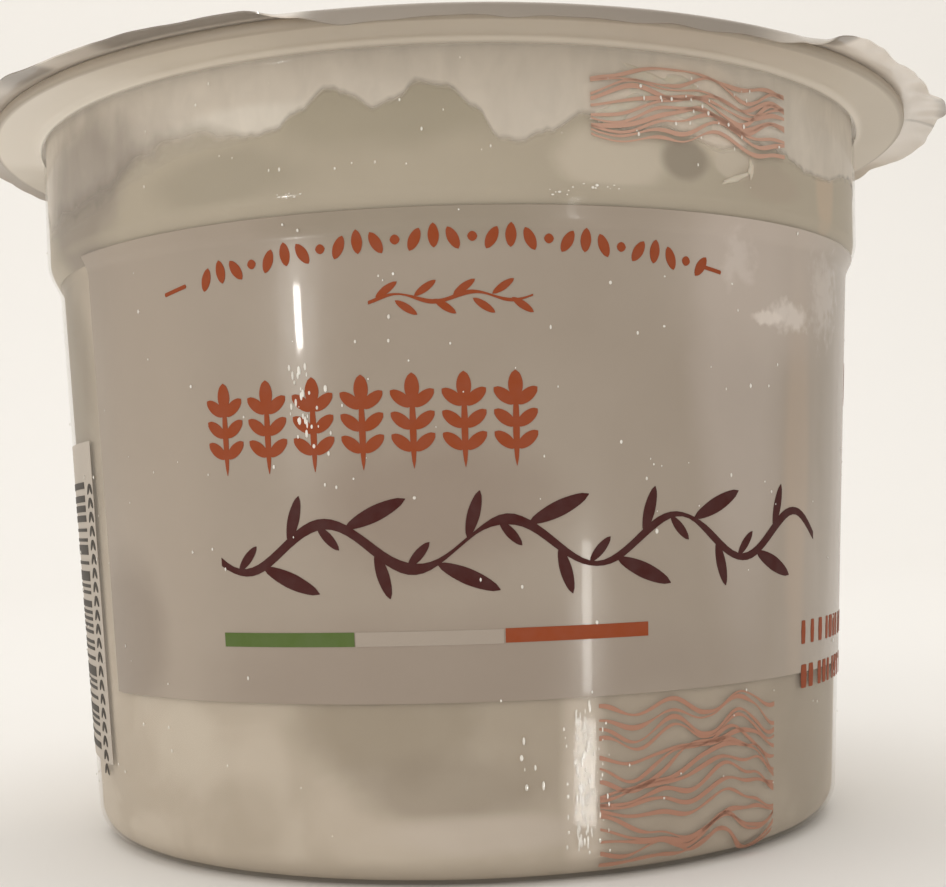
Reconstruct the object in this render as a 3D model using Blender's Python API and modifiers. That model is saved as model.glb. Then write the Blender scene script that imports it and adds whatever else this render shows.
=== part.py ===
"""Sealed clear tub that holds one burrata in its whey.

Metres, +Z up. The origin is the middle of the tub's base, on the surface that it
stands on. The printed front faces -Y, and the film lid's pull tab points to +X.
"""

import math

import bmesh
import bpy
from mathutils import Matrix, Vector

MM = 0.001

# Tub: outer radii and heights, from the rim flange down to the base.
FLANGE_RADIUS = 46.6 * MM
FLANGE_TOP = 68.4 * MM
FLANGE_THICKNESS = 1.0 * MM
FLANGE_EDGE_ROUND = 0.45 * MM
COLLAR_TOP_RADIUS = 41.8 * MM
COLLAR_FOOT_RADIUS = 41.5 * MM
COLLAR_FOOT_HEIGHT = 55.5 * MM
BODY_TOP_RADIUS = 40.3 * MM
BODY_TOP_HEIGHT = 52.7 * MM
BASE_RADIUS = 37.15 * MM
BASE_ROUND = 2.9 * MM
UNDER_FLANGE_ROUND = 0.9 * MM
SHOULDER_ROUND = 0.8 * MM
WALL = 0.8 * MM
TUB_SEGMENTS = 60

# Film lid: sealed on the flange, hanging a little past it, with a creased pull tab.
FILM_THICKNESS = 0.3 * MM
FILM_DISH = 0.7 * MM
FILM_OVERHANG = 1.9 * MM
FILM_DROOP = 0.8 * MM
TAB_REACH = 1.8 * MM
TAB_DROOP = 0.9 * MM
TAB_DIRECTION = math.radians(70.0)
TAB_HALF_WIDTH = math.radians(15.0)
TAB_CREASES = 2
FILM_SEGMENTS = 72

# Printed field: a thin sleeve round the body, open over a clear window at the left.
LABEL_LOW = 15.0 * MM
LABEL_HIGH = 54.3 * MM
LABEL_THICKNESS = 0.2 * MM
LABEL_START_SEGMENT = -9
LABEL_SEGMENTS = 53

# Contents: one squat ball of cheese with a gathered, pleated knot, in whey.
CHEESE_RADIUS = 33.0 * MM
CHEESE_HEIGHT = 52.5 * MM
NECK_RADIUS = 7.0 * MM
NECK_HEIGHT = 55.5 * MM
KNOT_RADIUS = 10.5 * MM
KNOT_TOP = 64.2 * MM
PLEATS = 9
CHEESE_SEGMENTS = 34
WHEY_LEVEL = 60.5 * MM

# What parts lie apart by, so that no two solids touch.
GAP = 0.3 * MM
LABEL_GAP = 0.2 * MM
MERGE = 0.01 * MM


def clear_scene():
    for old in list(bpy.data.objects):
        bpy.data.objects.remove(old, do_unlink=True)


def new_collection(name):
    group = bpy.data.collections.new(name)
    bpy.context.scene.collection.children.link(group)
    return group


def plastic(name, colour, roughness, alpha=1.0):
    material = bpy.data.materials.new(name)
    material.use_nodes = True
    shader = material.node_tree.nodes["Principled BSDF"]
    shader.inputs["Base Color"].default_value = (*colour, 1.0)
    shader.inputs["Roughness"].default_value = roughness
    shader.inputs["Metallic"].default_value = 0.0
    shader.inputs["Alpha"].default_value = alpha
    return material


def place(name, mesh, material, group):
    """Adds the mesh to the group as one shaded, named part."""
    part = bpy.data.objects.new(name, mesh)
    group.objects.link(part)
    mesh.materials.clear()
    mesh.materials.append(material)
    mesh.shade_smooth()
    mesh.set_sharp_from_angle(angle=math.radians(40.0))
    return part


def arc(centre, radius, start, end, steps):
    """Points (radius, height) of a fillet, from angle start to angle end."""
    points = []
    for i in range(steps + 1):
        angle = math.radians(start + (end - start) * i / steps)
        points.append((centre[0] + radius * math.cos(angle), centre[1] + radius * math.sin(angle)))
    return points


def round_corner(before, corner, after, radius, steps):
    """Points of an arc of that radius, fitted into the corner of three points."""
    a = (Vector(before) - Vector(corner)).normalized()
    b = (Vector(after) - Vector(corner)).normalized()
    half = a.angle(b) / 2.0
    reach = radius / math.tan(half)
    centre = Vector(corner) + (a + b).normalized() * (radius / math.sin(half))
    first = Vector(corner) + a * reach - centre
    turn = first.angle_signed(Vector(corner) + b * reach - centre)
    return [tuple(centre + Matrix.Rotation(-turn * i / steps, 2) @ first) for i in range(steps + 1)]


def cone_radius(height):
    """Outer radius of the tub's straight body at a height."""
    return BASE_RADIUS + (BODY_TOP_RADIUS - BASE_RADIUS) * height / BODY_TOP_HEIGHT


def wall_outline(inset):
    """The wall's side from the collar's top to the base, moved inwards by inset."""
    floor = inset
    top = (COLLAR_TOP_RADIUS - inset, FLANGE_TOP - FLANGE_THICKNESS)
    collar_foot = (COLLAR_FOOT_RADIUS - inset, COLLAR_FOOT_HEIGHT)
    body_top = (BODY_TOP_RADIUS - inset, BODY_TOP_HEIGHT)
    base_corner = (cone_radius(floor) - inset, floor)
    points = [top]
    points += round_corner(top, collar_foot, body_top, SHOULDER_ROUND, 2)
    points += round_corner(collar_foot, body_top, base_corner, SHOULDER_ROUND, 2)
    points += round_corner(body_top, base_corner, (0.0, floor), BASE_ROUND - inset, 4)
    points.append((0.0, floor))
    return points


def turned(name, outline, segments):
    """Mesh of an outline (radius, height), run down its outer side, turned about Z."""
    mesh = bpy.data.meshes.new(name + "_outline")
    points = [(radius, 0.0, height) for radius, height in outline]
    edges = [(i, i + 1) for i in range(len(points) - 1)]
    mesh.from_pydata(points, edges, [])
    guide = bpy.data.objects.new(name + "_outline", mesh)
    bpy.context.scene.collection.objects.link(guide)
    screw = guide.modifiers.new("turn", "SCREW")
    screw.axis = "Z"
    screw.angle = 2.0 * math.pi
    screw.steps = segments
    screw.render_steps = segments
    screw.use_merge_vertices = True
    screw.merge_threshold = MERGE
    result = bpy.data.meshes.new_from_object(guide.evaluated_get(bpy.context.evaluated_depsgraph_get()))
    bpy.data.objects.remove(guide, do_unlink=True)
    bpy.data.meshes.remove(mesh)
    result.name = name
    return result


def make_tub(group):
    """Thin tapered cup: flat base, soft shoulder, upright collar and a wide rim flange."""
    under = FLANGE_TOP - FLANGE_THICKNESS
    inside = list(reversed(wall_outline(WALL)))
    inside[-1] = (inside[-1][0], FLANGE_TOP)
    lip_centre_high = (FLANGE_RADIUS - FLANGE_EDGE_ROUND, FLANGE_TOP - FLANGE_EDGE_ROUND)
    lip_centre_low = (FLANGE_RADIUS - FLANGE_EDGE_ROUND, under + FLANGE_EDGE_ROUND)
    lip = arc(lip_centre_high, FLANGE_EDGE_ROUND, 90.0, 0.0, 2)
    lip += arc(lip_centre_low, FLANGE_EDGE_ROUND, 0.0, -90.0, 2)
    outside = wall_outline(0.0)
    root = round_corner(lip[-1], outside[0], outside[1], UNDER_FLANGE_ROUND, 2)
    outline = inside + lip + root + outside[1:]
    plain = plastic("clear_polypropylene", (0.50, 0.45, 0.38), 0.12, alpha=0.35)
    return place("tub", turned("tub", outline, TUB_SEGMENTS), plain, group)


def tab_share(angle):
    """How much of the pull tab lies at this direction: 1 in its middle, 0 beside it."""
    away = abs(angle - TAB_DIRECTION) / TAB_HALF_WIDTH
    return 0.0 if away >= 1.0 else math.cos(away * math.pi / 2.0) ** 0.6


def film_edge(angle):
    """Radius of the film's cut edge, a little uneven all round and longer at the tab."""
    uneven = 0.25 * math.sin(5.0 * angle + 0.6) + 0.2 * math.sin(11.0 * angle)
    return FLANGE_RADIUS + FILM_OVERHANG * (1.0 + 0.5 * uneven) + TAB_REACH * tab_share(angle)


def film_point(radius_share, ring_radius, angle):
    """Point of the film's under side; radius_share runs over what hangs past the flange."""
    base = FLANGE_TOP + GAP
    if radius_share is None:
        sealed = COLLAR_TOP_RADIUS - WALL
        dip = max(0.0, 1.0 - (ring_radius / sealed) ** 2)
        return ring_radius, base - FILM_DISH * dip
    tab = tab_share(angle)
    radius = FLANGE_RADIUS + GAP + (film_edge(angle) - FLANGE_RADIUS - GAP) * radius_share
    crease = math.cos((angle - TAB_DIRECTION) / TAB_HALF_WIDTH * math.pi * TAB_CREASES)
    fall = (FILM_DROOP + TAB_DROOP * tab * (0.8 + 0.2 * crease)) * radius_share ** 1.4
    return radius, base - fall


def make_film_lid(group):
    """Peelable film, dished over the contents and hanging past the flange's edge."""
    sealed = COLLAR_TOP_RADIUS - WALL
    flat_rings = [0.0, sealed * 0.6, sealed]
    hanging = [0.0, 0.35, 0.7, 1.0]
    outline = [(radius, 0.0) for radius in flat_rings]
    outline += [(FLANGE_RADIUS * (1.0 + 0.05 * (i + 1)), 0.0) for i in range(len(hanging))]
    mesh = turned("film_lid", outline, FILM_SEGMENTS)
    for vertex in mesh.vertices:
        ring_radius = math.hypot(vertex.co.x, vertex.co.y)
        angle = math.atan2(vertex.co.x, -vertex.co.y)
        ring = min(range(len(outline)), key=lambda i: abs(outline[i][0] - ring_radius))
        share = None if ring < len(flat_rings) else hanging[ring - len(flat_rings)]
        radius, height = film_point(share, ring_radius, angle)
        vertex.co = (radius * math.sin(angle), -radius * math.cos(angle), height)
    plain = plastic("film", (0.62, 0.57, 0.50), 0.4)
    film = place("film_lid", mesh, plain, group)
    solid = film.modifiers.new("film_thickness", "SOLIDIFY")
    solid.thickness = FILM_THICKNESS
    solid.offset = 1.0
    return film


def make_label(group):
    """Thin printed sleeve that follows the body and the lower half of the shoulder."""
    side = [point for point in wall_outline(0.0) if LABEL_LOW < point[1] < LABEL_HIGH]
    shoulder = (LABEL_HIGH - BODY_TOP_HEIGHT) / (COLLAR_FOOT_HEIGHT - BODY_TOP_HEIGHT)
    top_radius = BODY_TOP_RADIUS + (COLLAR_FOOT_RADIUS - BODY_TOP_RADIUS) * shoulder
    side = [(top_radius, LABEL_HIGH)] + side + [(cone_radius(LABEL_LOW), LABEL_LOW)]
    mesh = bmesh.new()
    columns = []
    for i in range(LABEL_SEGMENTS + 1):
        angle = 2.0 * math.pi * (LABEL_START_SEGMENT + i) / TUB_SEGMENTS
        columns.append([label_corner(mesh, radius + LABEL_GAP, height, angle) for radius, height in side])
    for left, right in zip(columns, columns[1:]):
        for k in range(len(side) - 1):
            mesh.faces.new((left[k], left[k + 1], right[k + 1], right[k]))
    data = bpy.data.meshes.new("label")
    mesh.to_mesh(data)
    mesh.free()
    plain = plastic("label_ink", (0.34, 0.28, 0.23), 0.3)
    label = place("label", data, plain, group)
    solid = label.modifiers.new("label_thickness", "SOLIDIFY")
    solid.thickness = LABEL_THICKNESS
    solid.offset = 1.0
    return label


def label_corner(mesh, radius, height, angle):
    return mesh.verts.new((radius * math.sin(angle), -radius * math.cos(angle), height))


def cheese_outline(grow):
    """The ball's side from the knot's top to its foot, moved outwards by grow."""
    floor = WALL + GAP
    half = (CHEESE_HEIGHT - floor) / 2.0
    middle = floor + half
    neck_turn = math.acos(NECK_RADIUS / CHEESE_RADIUS)
    points = [(0.0, KNOT_TOP + grow)]
    points.append((KNOT_RADIUS * 0.6, KNOT_TOP + grow))
    points.append((KNOT_RADIUS + grow, KNOT_TOP - 2.2 * MM))
    points.append((NECK_RADIUS * 1.15 + grow, NECK_HEIGHT + 2.5 * MM))
    points.append((NECK_RADIUS + grow, NECK_HEIGHT))
    steps = 14
    for i in range(steps + 1):
        angle = neck_turn + (-math.pi / 2.0 - neck_turn) * i / steps
        points.append(((CHEESE_RADIUS + grow) * math.cos(angle), middle + (half + grow) * math.sin(angle)))
    points[-1] = (0.0, points[-1][1])
    return points


def cheese_mesh(name, grow):
    """The turned ball, with pleats that run from the knot and fade out down its side."""
    mesh = turned(name, cheese_outline(grow), CHEESE_SEGMENTS)
    for vertex in mesh.vertices:
        angle = math.atan2(vertex.co.y, vertex.co.x)
        depth = min(1.0, max(0.0, (vertex.co.z - CHEESE_HEIGHT * 0.5) / (NECK_HEIGHT - CHEESE_HEIGHT * 0.5)))
        ruffle = math.cos(PLEATS * angle + 2.0 * math.sin(angle)) * 0.11 * depth ** 2
        vertex.co.x *= 1.0 + ruffle
        vertex.co.y *= 1.0 + ruffle
    return mesh


def make_burrata(group):
    """Squat pouch of cheese that stands on the tub's floor, closed by a pleated knot."""
    plain = plastic("stretched_curd", (0.72, 0.68, 0.60), 0.35)
    return place("burrata", cheese_mesh("burrata", 0.0), plain, group)


def make_whey(group, cutters):
    """Whey up to its level, inside the wall, cut round the ball that stands in it."""
    inset = WALL + GAP
    side = [point for point in wall_outline(inset) if point[1] < WHEY_LEVEL]
    rise = (WHEY_LEVEL - COLLAR_FOOT_HEIGHT) / (FLANGE_TOP - FLANGE_THICKNESS - COLLAR_FOOT_HEIGHT)
    level_radius = COLLAR_FOOT_RADIUS + (COLLAR_TOP_RADIUS - COLLAR_FOOT_RADIUS) * rise - inset
    outline = [(0.0, WHEY_LEVEL), (level_radius, WHEY_LEVEL)] + side
    plain = plastic("cloudy_whey", (0.45, 0.42, 0.33), 0.1)
    whey = place("whey", turned("whey", outline, TUB_SEGMENTS), plain, group)
    cutter = bpy.data.objects.new("burrata_space", cheese_mesh("burrata_space", GAP))
    cutters.objects.link(cutter)
    cutter.hide_render = True
    cutter.display_type = "WIRE"
    cut = whey.modifiers.new("round_the_burrata", "BOOLEAN")
    cut.operation = "DIFFERENCE"
    cut.solver = "EXACT"
    cut.object = cutter
    return whey


def main():
    clear_scene()
    group = new_collection("burrata_tub")
    cutters = new_collection("cutters")
    make_tub(group)
    make_film_lid(group)
    make_label(group)
    make_burrata(group)
    make_whey(group, cutters)


main()
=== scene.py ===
import math
import random

import bmesh
import bpy
from mathutils import Matrix, Vector, noise


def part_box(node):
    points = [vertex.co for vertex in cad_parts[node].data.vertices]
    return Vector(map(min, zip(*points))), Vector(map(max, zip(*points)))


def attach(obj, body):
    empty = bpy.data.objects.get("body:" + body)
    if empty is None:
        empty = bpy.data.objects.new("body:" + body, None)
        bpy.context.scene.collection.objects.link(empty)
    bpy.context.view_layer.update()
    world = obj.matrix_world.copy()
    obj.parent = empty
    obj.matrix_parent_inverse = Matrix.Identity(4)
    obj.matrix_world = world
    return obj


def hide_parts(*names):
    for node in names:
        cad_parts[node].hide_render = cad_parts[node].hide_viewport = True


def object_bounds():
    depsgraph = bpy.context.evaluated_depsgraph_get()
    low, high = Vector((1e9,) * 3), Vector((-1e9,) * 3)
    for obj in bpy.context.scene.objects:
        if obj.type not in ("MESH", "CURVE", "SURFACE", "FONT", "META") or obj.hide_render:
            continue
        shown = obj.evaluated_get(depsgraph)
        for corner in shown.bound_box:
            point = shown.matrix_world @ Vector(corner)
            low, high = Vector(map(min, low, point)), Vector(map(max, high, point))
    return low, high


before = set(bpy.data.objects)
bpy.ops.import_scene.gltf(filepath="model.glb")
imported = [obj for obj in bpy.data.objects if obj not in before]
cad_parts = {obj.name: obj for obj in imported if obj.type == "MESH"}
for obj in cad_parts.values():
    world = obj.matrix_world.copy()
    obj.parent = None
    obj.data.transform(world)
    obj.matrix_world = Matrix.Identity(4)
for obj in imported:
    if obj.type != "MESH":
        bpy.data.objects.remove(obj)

# A sealed clear tub of burrata in whey: the wall, film lid, print and contents are
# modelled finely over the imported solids. The front faces -Y.
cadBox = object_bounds()
mm = 0.001
root = "root"
scene = bpy.context.scene


# small helpers, used by every piece

def linear(hexText):
    # sRGB hex to the linear RGBA that shader sockets take
    channels = [int(hexText[i:i + 2], 16) / 255.0 for i in (1, 3, 5)]
    return (*[c / 12.92 if c <= 0.04045 else ((c + 0.055) / 1.055) ** 2.4 for c in channels], 1.0)


def addNode(tree, kind, settings=None, inputs=None):
    node = tree.nodes.new(kind)
    for key, value in (settings or {}).items():
        setattr(node, key, value)
    for key, value in (inputs or {}).items():
        if isinstance(value, bpy.types.NodeSocket):
            tree.links.new(value, node.inputs[key])
        else:
            node.inputs[key].default_value = value
    return node


def newMaterial(name, values):
    material = bpy.data.materials.new(name)
    material.use_nodes = True
    shader = material.node_tree.nodes["Principled BSDF"]
    for key, value in values.items():
        shader.inputs[key].default_value = value
    return material, material.node_tree, shader


def newObject(name, mesh, material=None):
    piece = bpy.data.objects.new(name, mesh)
    scene.collection.objects.link(piece)
    if material is not None:
        mesh.materials.clear()
        mesh.materials.append(material)
    return piece


def plainMesh(source, name):
    # the evaluated object as a mesh with no modifier left on it
    graph = bpy.context.evaluated_depsgraph_get()
    mesh = bpy.data.meshes.new_from_object(source.evaluated_get(graph))
    mesh.name = name
    bpy.data.objects.remove(source, do_unlink=True)
    return mesh


def finishPiece(piece, replaced=()):
    piece.data.shade_smooth()
    piece.data.set_sharp_from_angle(angle=math.radians(42.0))
    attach(piece, root)
    if replaced:
        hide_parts(*replaced)
    return piece


def paintPatches(tree, shade, patches, wobbleSize, ragged=0.6):
    # lays soft-edged patches over a colour: direction and half width in degrees, height and
    # half height in mm, colour, share, and how much of the patch its soft edge takes
    place = addNode(tree, "ShaderNodeTexCoord").outputs["Object"]
    parts = addNode(tree, "ShaderNodeSeparateXYZ", {}, {0: place})
    ahead = addNode(tree, "ShaderNodeMath", {"operation": "MULTIPLY"}, {0: parts.outputs[1], 1: -1.0})
    angle = addNode(tree, "ShaderNodeMath", {"operation": "ARCTAN2"}, {
        0: parts.outputs[0], 1: ahead.outputs[0]})
    wobble = addNode(tree, "ShaderNodeTexNoise", {}, {"Vector": place, "Scale": 1.0 / wobbleSize, "Detail": 3.0})
    for middle, halfWide, high, halfHigh, colour, share, soft in patches:
        across = addNode(tree, "ShaderNodeMapRange", {"clamp": False}, {
            "Value": angle.outputs[0], "From Min": math.radians(middle),
            "From Max": math.radians(middle + halfWide)})
        upward = addNode(tree, "ShaderNodeMapRange", {"clamp": False}, {
            "Value": parts.outputs[2], "From Min": high * mm, "From Max": (high + halfHigh) * mm})
        spot = addNode(tree, "ShaderNodeCombineXYZ", {}, {0: across.outputs[0], 1: upward.outputs[0]})
        away = addNode(tree, "ShaderNodeVectorMath", {"operation": "LENGTH"}, {0: spot.outputs[0]})
        uneven = addNode(tree, "ShaderNodeMath", {"operation": "MULTIPLY_ADD"}, {
            0: wobble.outputs[0], 1: ragged, 2: away.outputs["Value"]})
        border = 1.0 + ragged / 2.0
        mask = addNode(tree, "ShaderNodeMapRange", {"interpolation_type": "SMOOTHSTEP"}, {
            "Value": uneven.outputs[0], "From Min": border + soft / 2.0, "From Max": border - soft / 2.0,
            "To Max": share})
        shade = addNode(tree, "ShaderNodeMix", {"data_type": "RGBA"}, {
            0: mask.outputs[0], 6: shade, 7: linear(colour)}).outputs[2]
    return shade


# the tub's wall, which every print and film follows

tub = {
    "flangeRadius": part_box("tub")[1].x,
    "height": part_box("tub")[1].z,
    "flangeThickness": 1.0 * mm,
    "lipRound": 0.42 * mm,
    "underFlangeRound": 1.0 * mm,
    "baseRadius": 37.15 * mm,
    "bodyTopRadius": 40.27 * mm,
    "shoulderLow": 52.4 * mm,
    "shoulderHigh": 55.9 * mm,
    "shoulderStep": 1.23 * mm,
    "collarFlare": 0.3 * mm,
    "baseRound": 2.9 * mm,
    "baseRecess": 0.45 * mm,
    "standingRing": 30.5 * mm,
    "wall": 0.6 * mm,
    "segments": 192,
    "wallMilky": 0.28,
    "rimMilky": 0.86,
}


def smoothStep(value, low, high):
    t = min(1.0, max(0.0, (value - low) / (high - low)))
    return t * t * (3.0 - 2.0 * t)


def sideRadius(z):
    rise = min(1.0, max(0.0, z / tub["shoulderLow"]))
    radius = tub["baseRadius"] + (tub["bodyTopRadius"] - tub["baseRadius"]) * rise
    radius += tub["shoulderStep"] * smoothStep(z, tub["shoulderLow"], tub["shoulderHigh"])
    flare = (z - tub["shoulderHigh"]) / (tub["height"] - tub["shoulderHigh"])
    return radius + tub["collarFlare"] * min(1.0, max(0.0, flare))


def wallRadius(z, inset=0.0):
    # outer side at height z, or the inner side at an inset; the base corner is rounded
    rounding = tub["baseRound"] - inset
    short = max(0.0, rounding - (z - inset))
    dip = rounding - math.sqrt(max(0.0, rounding ** 2 - min(short, rounding) ** 2))
    return sideRadius(z) - inset - dip


def wallHeights(low, high):
    # heights from high to low, close together in the shoulder and at the base corner
    heights = []
    for z in [high - 0.9 * mm * i for i in range(int((high - low) / (0.9 * mm)) + 1)]:
        heights.append(z)
    for i in range(13):
        heights.append(tub["shoulderLow"] + (tub["shoulderHigh"] - tub["shoulderLow"]) * i / 12)
    for i in range(12):
        heights.append(low + tub["baseRound"] * (1.0 - math.cos(math.pi / 2.0 * i / 12)))
    heights = sorted({round(z, 7) for z in heights if low <= z <= high}, reverse=True)
    return [z for i, z in enumerate(heights) if i == 0 or heights[i - 1] - z > 0.00004]


def turn(name, outline, segments):
    # outline is (radius, height), down the outer side
    mesh = bpy.data.meshes.new(name + "Outline")
    mesh.from_pydata([(r, 0.0, z) for r, z in outline], [(i, i + 1) for i in range(len(outline) - 1)], [])
    guide = newObject(name + "Outline", mesh)
    screw = guide.modifiers.new("turn", "SCREW")
    screw.steps = segments
    screw.render_steps = segments
    screw.use_merge_vertices = True
    screw.merge_threshold = 0.005 * mm
    return plainMesh(guide, name)


def cornerArc(centre, radius, start, end, steps):
    angles = [math.radians(start + (end - start) * i / steps) for i in range(steps + 1)]
    return [(centre[0] + radius * math.cos(a), centre[1] + radius * math.sin(a)) for a in angles]


def polypropyleneFormed():
    # Clear polypropylene, thermoformed thin: see-through with a milky haze and a gloss. The
    # flange keeps the full sheet thickness, so it is milkier than the drawn-down wall.
    material, tree, shader = newMaterial("polypropyleneFormed", {
        "IOR": 1.49, "Specular IOR Level": 0.4})
    place = addNode(tree, "ShaderNodeTexCoord").outputs["Object"]
    milky = addNode(tree, "ShaderNodeAttribute", {"attribute_name": "milky"})
    tree.links.new(milky.outputs["Fac"], shader.inputs["Alpha"])
    haze = addNode(tree, "ShaderNodeTexNoise", {}, {"Vector": place, "Scale": 1.0 / (14 * mm), "Detail": 2.0})
    wallTone = addNode(tree, "ShaderNodeMix", {"data_type": "RGBA"}, {
        0: haze.outputs[0], 6: linear("#bdb1a1"), 7: linear("#b1a698")})
    rimTone = addNode(tree, "ShaderNodeMix", {"data_type": "RGBA"}, {
        0: haze.outputs[0], 6: linear("#dfd5c5"), 7: linear("#d3c9ba")})
    # painted light and shade on the flange: lighter at the left, darker at the front right
    rimPaintedLightAndShade = paintPatches(tree, rimTone.outputs[2], [
        (-64.0, 26.0, 67.5, 3.0, "#fff8ec", 0.85, 0.8),
        (6.0, 26.0, 67.5, 3.0, "#c3b8a9", 0.6, 0.8),
    ], 9 * mm)
    rim = addNode(tree, "ShaderNodeMapRange", {}, {
        "Value": milky.outputs["Fac"], "From Min": tub["wallMilky"], "From Max": tub["rimMilky"]})
    gloss = addNode(tree, "ShaderNodeMapRange", {}, {"Value": rim.outputs[0], "To Min": 0.1, "To Max": 0.45})
    tree.links.new(gloss.outputs[0], shader.inputs["Roughness"])
    tone = addNode(tree, "ShaderNodeMix", {"data_type": "RGBA"}, {
        0: rim.outputs[0], 6: wallTone.outputs[2], 7: rimPaintedLightAndShade})
    parts = addNode(tree, "ShaderNodeSeparateXYZ", {}, {0: place})
    flat = addNode(tree, "ShaderNodeCombineXYZ", {}, {0: parts.outputs[0], 1: parts.outputs[1]})
    reach = addNode(tree, "ShaderNodeVectorMath", {"operation": "LENGTH"}, {0: flat.outputs[0]})
    # painted shade: the flange's outer lip is painted darker
    lip = addNode(tree, "ShaderNodeMapRange", {}, {
        "Value": reach.outputs["Value"], "From Min": tub["flangeRadius"] - 0.6 * mm,
        "From Max": tub["flangeRadius"] - 0.2 * mm})
    tone = addNode(tree, "ShaderNodeMix", {"data_type": "RGBA"}, {
        0: lip.outputs[0], 6: tone.outputs[2], 7: linear("#b1a595")})
    # painted highlight: a pale line where the collar meets the flange, over the shade in that corner
    root = addNode(tree, "ShaderNodeMath", {"operation": "SUBTRACT"}, {
        0: reach.outputs["Value"], 1: sideRadius(tub["height"]) + 0.45 * mm})
    root = addNode(tree, "ShaderNodeMath", {"operation": "ABSOLUTE"}, {0: root.outputs[0]})
    root = addNode(tree, "ShaderNodeMapRange", {}, {
        "Value": root.outputs[0], "From Min": 0.05 * mm, "From Max": 0.32 * mm, "To Min": 0.5, "To Max": 0.0})
    tone = addNode(tree, "ShaderNodeMix", {"data_type": "RGBA"}, {
        0: root.outputs[0], 6: tone.outputs[2], 7: linear("#e9e0d2")})
    tree.links.new(tone.outputs[2], shader.inputs["Base Color"])
    ripple = addNode(tree, "ShaderNodeTexNoise", {}, {"Vector": place, "Scale": 1.0 / (5 * mm), "Detail": 1.0})
    bump = addNode(tree, "ShaderNodeBump", {}, {
        "Strength": 0.25, "Distance": 0.05 * mm, "Height": ripple.outputs[0]})
    tree.links.new(bump.outputs[0], shader.inputs["Normal"])
    return material


def makeTub():
    wall = tub["wall"]
    top, under = tub["height"], tub["height"] - tub["flangeThickness"]
    lip, lipX = tub["lipRound"], tub["flangeRadius"] - tub["lipRound"]
    inside = [(wallRadius(z, wall), z) for z in wallHeights(wall, top - 0.5 * mm)]
    inside.append((0.0, wall))
    mouth = cornerArc((inside[0][0] + 0.5 * mm, top - 0.5 * mm), 0.5 * mm, 180.0, 90.0, 4)
    outline = inside[::-1] + mouth[1:]
    outline += cornerArc((lipX, top - lip), lip, 90.0, 0.0, 5)
    outline += cornerArc((lipX, under + lip), lip, 0.0, -90.0, 5)
    root = tub["underFlangeRound"]
    outline += cornerArc((wallRadius(under) + root, under - root), root, 90.0, 180.0, 6)
    outline += [(wallRadius(z), z) for z in wallHeights(0.0, under - root)[1:]]
    ring = tub["standingRing"]
    outline += [(ring, 0.0), (ring - 0.7 * mm, tub["baseRecess"]), (0.0, tub["baseRecess"])]
    mesh = turn("tubWall", outline, tub["segments"])
    # only the outer skin is milky: through the inner one the contents show unchanged
    milky = mesh.attributes.new("milky", "FLOAT", "POINT")
    for i, vertex in enumerate(mesh.vertices):
        reach, z = math.hypot(vertex.co.x, vertex.co.y), vertex.co.z
        out = smoothStep(reach, wallRadius(z) - 0.7 * wall, wallRadius(z) - 0.3 * wall)
        out = max(out, smoothStep(0.6 * wall - z, 0.0, 0.1 * wall))
        rim = smoothStep(reach, sideRadius(top) - 0.02 * mm, sideRadius(top) + 0.25 * mm)
        milky.data[i].value = max(tub["wallMilky"] * out, tub["rimMilky"] * rim)
    return finishPiece(newObject("tubWall", mesh, polypropyleneFormed()), ["tub"])


# whey, burrata and what floats between them

whey = {"level": 60.5 * mm, "bite": 0.25 * mm, "meniscus": 0.7 * mm, "segments": 160}


def cloudyWhey():
    # Buffalo milk whey with cream in it: cloudy, and paler where cream has gathered. The pouch's
    # shaded foot at the front is painted into its colour as darker patches: painted shade.
    material, tree, shader = newMaterial("cloudyWhey", {
        "Roughness": 0.5, "IOR": 1.34, "Specular IOR Level": 0.1})
    place = addNode(tree, "ShaderNodeTexCoord").outputs["Object"]
    drift = addNode(tree, "ShaderNodeTexNoise", {}, {
        "Vector": place, "Scale": 1.0 / (11 * mm), "Detail": 3.0, "Roughness": 0.5, "Distortion": 0.8})
    cloud = addNode(tree, "ShaderNodeMapRange", {"interpolation_type": "SMOOTHSTEP"}, {
        "Value": drift.outputs[0], "From Min": 0.38, "From Max": 0.62})
    tone = addNode(tree, "ShaderNodeMix", {"data_type": "RGBA"}, {
        0: cloud.outputs[0], 6: linear("#cfc3b2"), 7: linear("#dcd1c1")})
    shade = paintPatches(tree, tone.outputs[2], [
        # painted shade: darker towards the lower right
        (30.0, 26.0, 11.0, 13.0, "#b3a594", 0.7, 0.9),
        # painted shade: darker at the left side, where the inside behind the clear wall is in shade
        (-68.0, 11.0, 40.0, 18.0, "#8e8475", 0.72, 0.9),
        # painted shade: darker low at the right side
        (58.0, 14.0, 9.0, 9.0, "#a69a8a", 0.7, 0.9),
        (-40.0, 6.0, 11.5, 4.0, "#e2d8c8", 0.8, 0.7),
        (-27.0, 4.0, 9.0, 4.5, "#dfd4c4", 0.7, 0.7),
        (-31.0, 7.0, 5.0, 3.4, "#c0b3a1", 0.5, 0.8),
        (-12.0, 9.0, 5.6, 3.0, "#ddd1c1", 0.7, 0.7),
        # painted shade: the pouch's shaded foot behind the front wall, in two patches
        (-8.6, 12.5, 13.4, 4.6, "#a0937f", 0.8, 0.8),
        (-2.5, 11.5, 8.2, 2.9, "#a09382", 0.7, 0.8),
        (8.0, 6.0, 11.5, 3.5, "#b8ab99", 0.6, 0.9),
        # painted highlight: a pale band where the low streak lamp's gloss runs down to the base
        (14.6, 2.6, 8.0, 11.0, "#fbf0e2", 0.7, 0.9),
        (2.0, 13.0, 4.4, 1.5, "#e4d9ce", 0.6, 0.8),
        (0.0, 80.0, 0.4, 1.6, "#c4b8a8", 0.7, 0.9),
    ], 6 * mm)
    tree.links.new(shade, shader.inputs["Base Color"])
    return material


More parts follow.
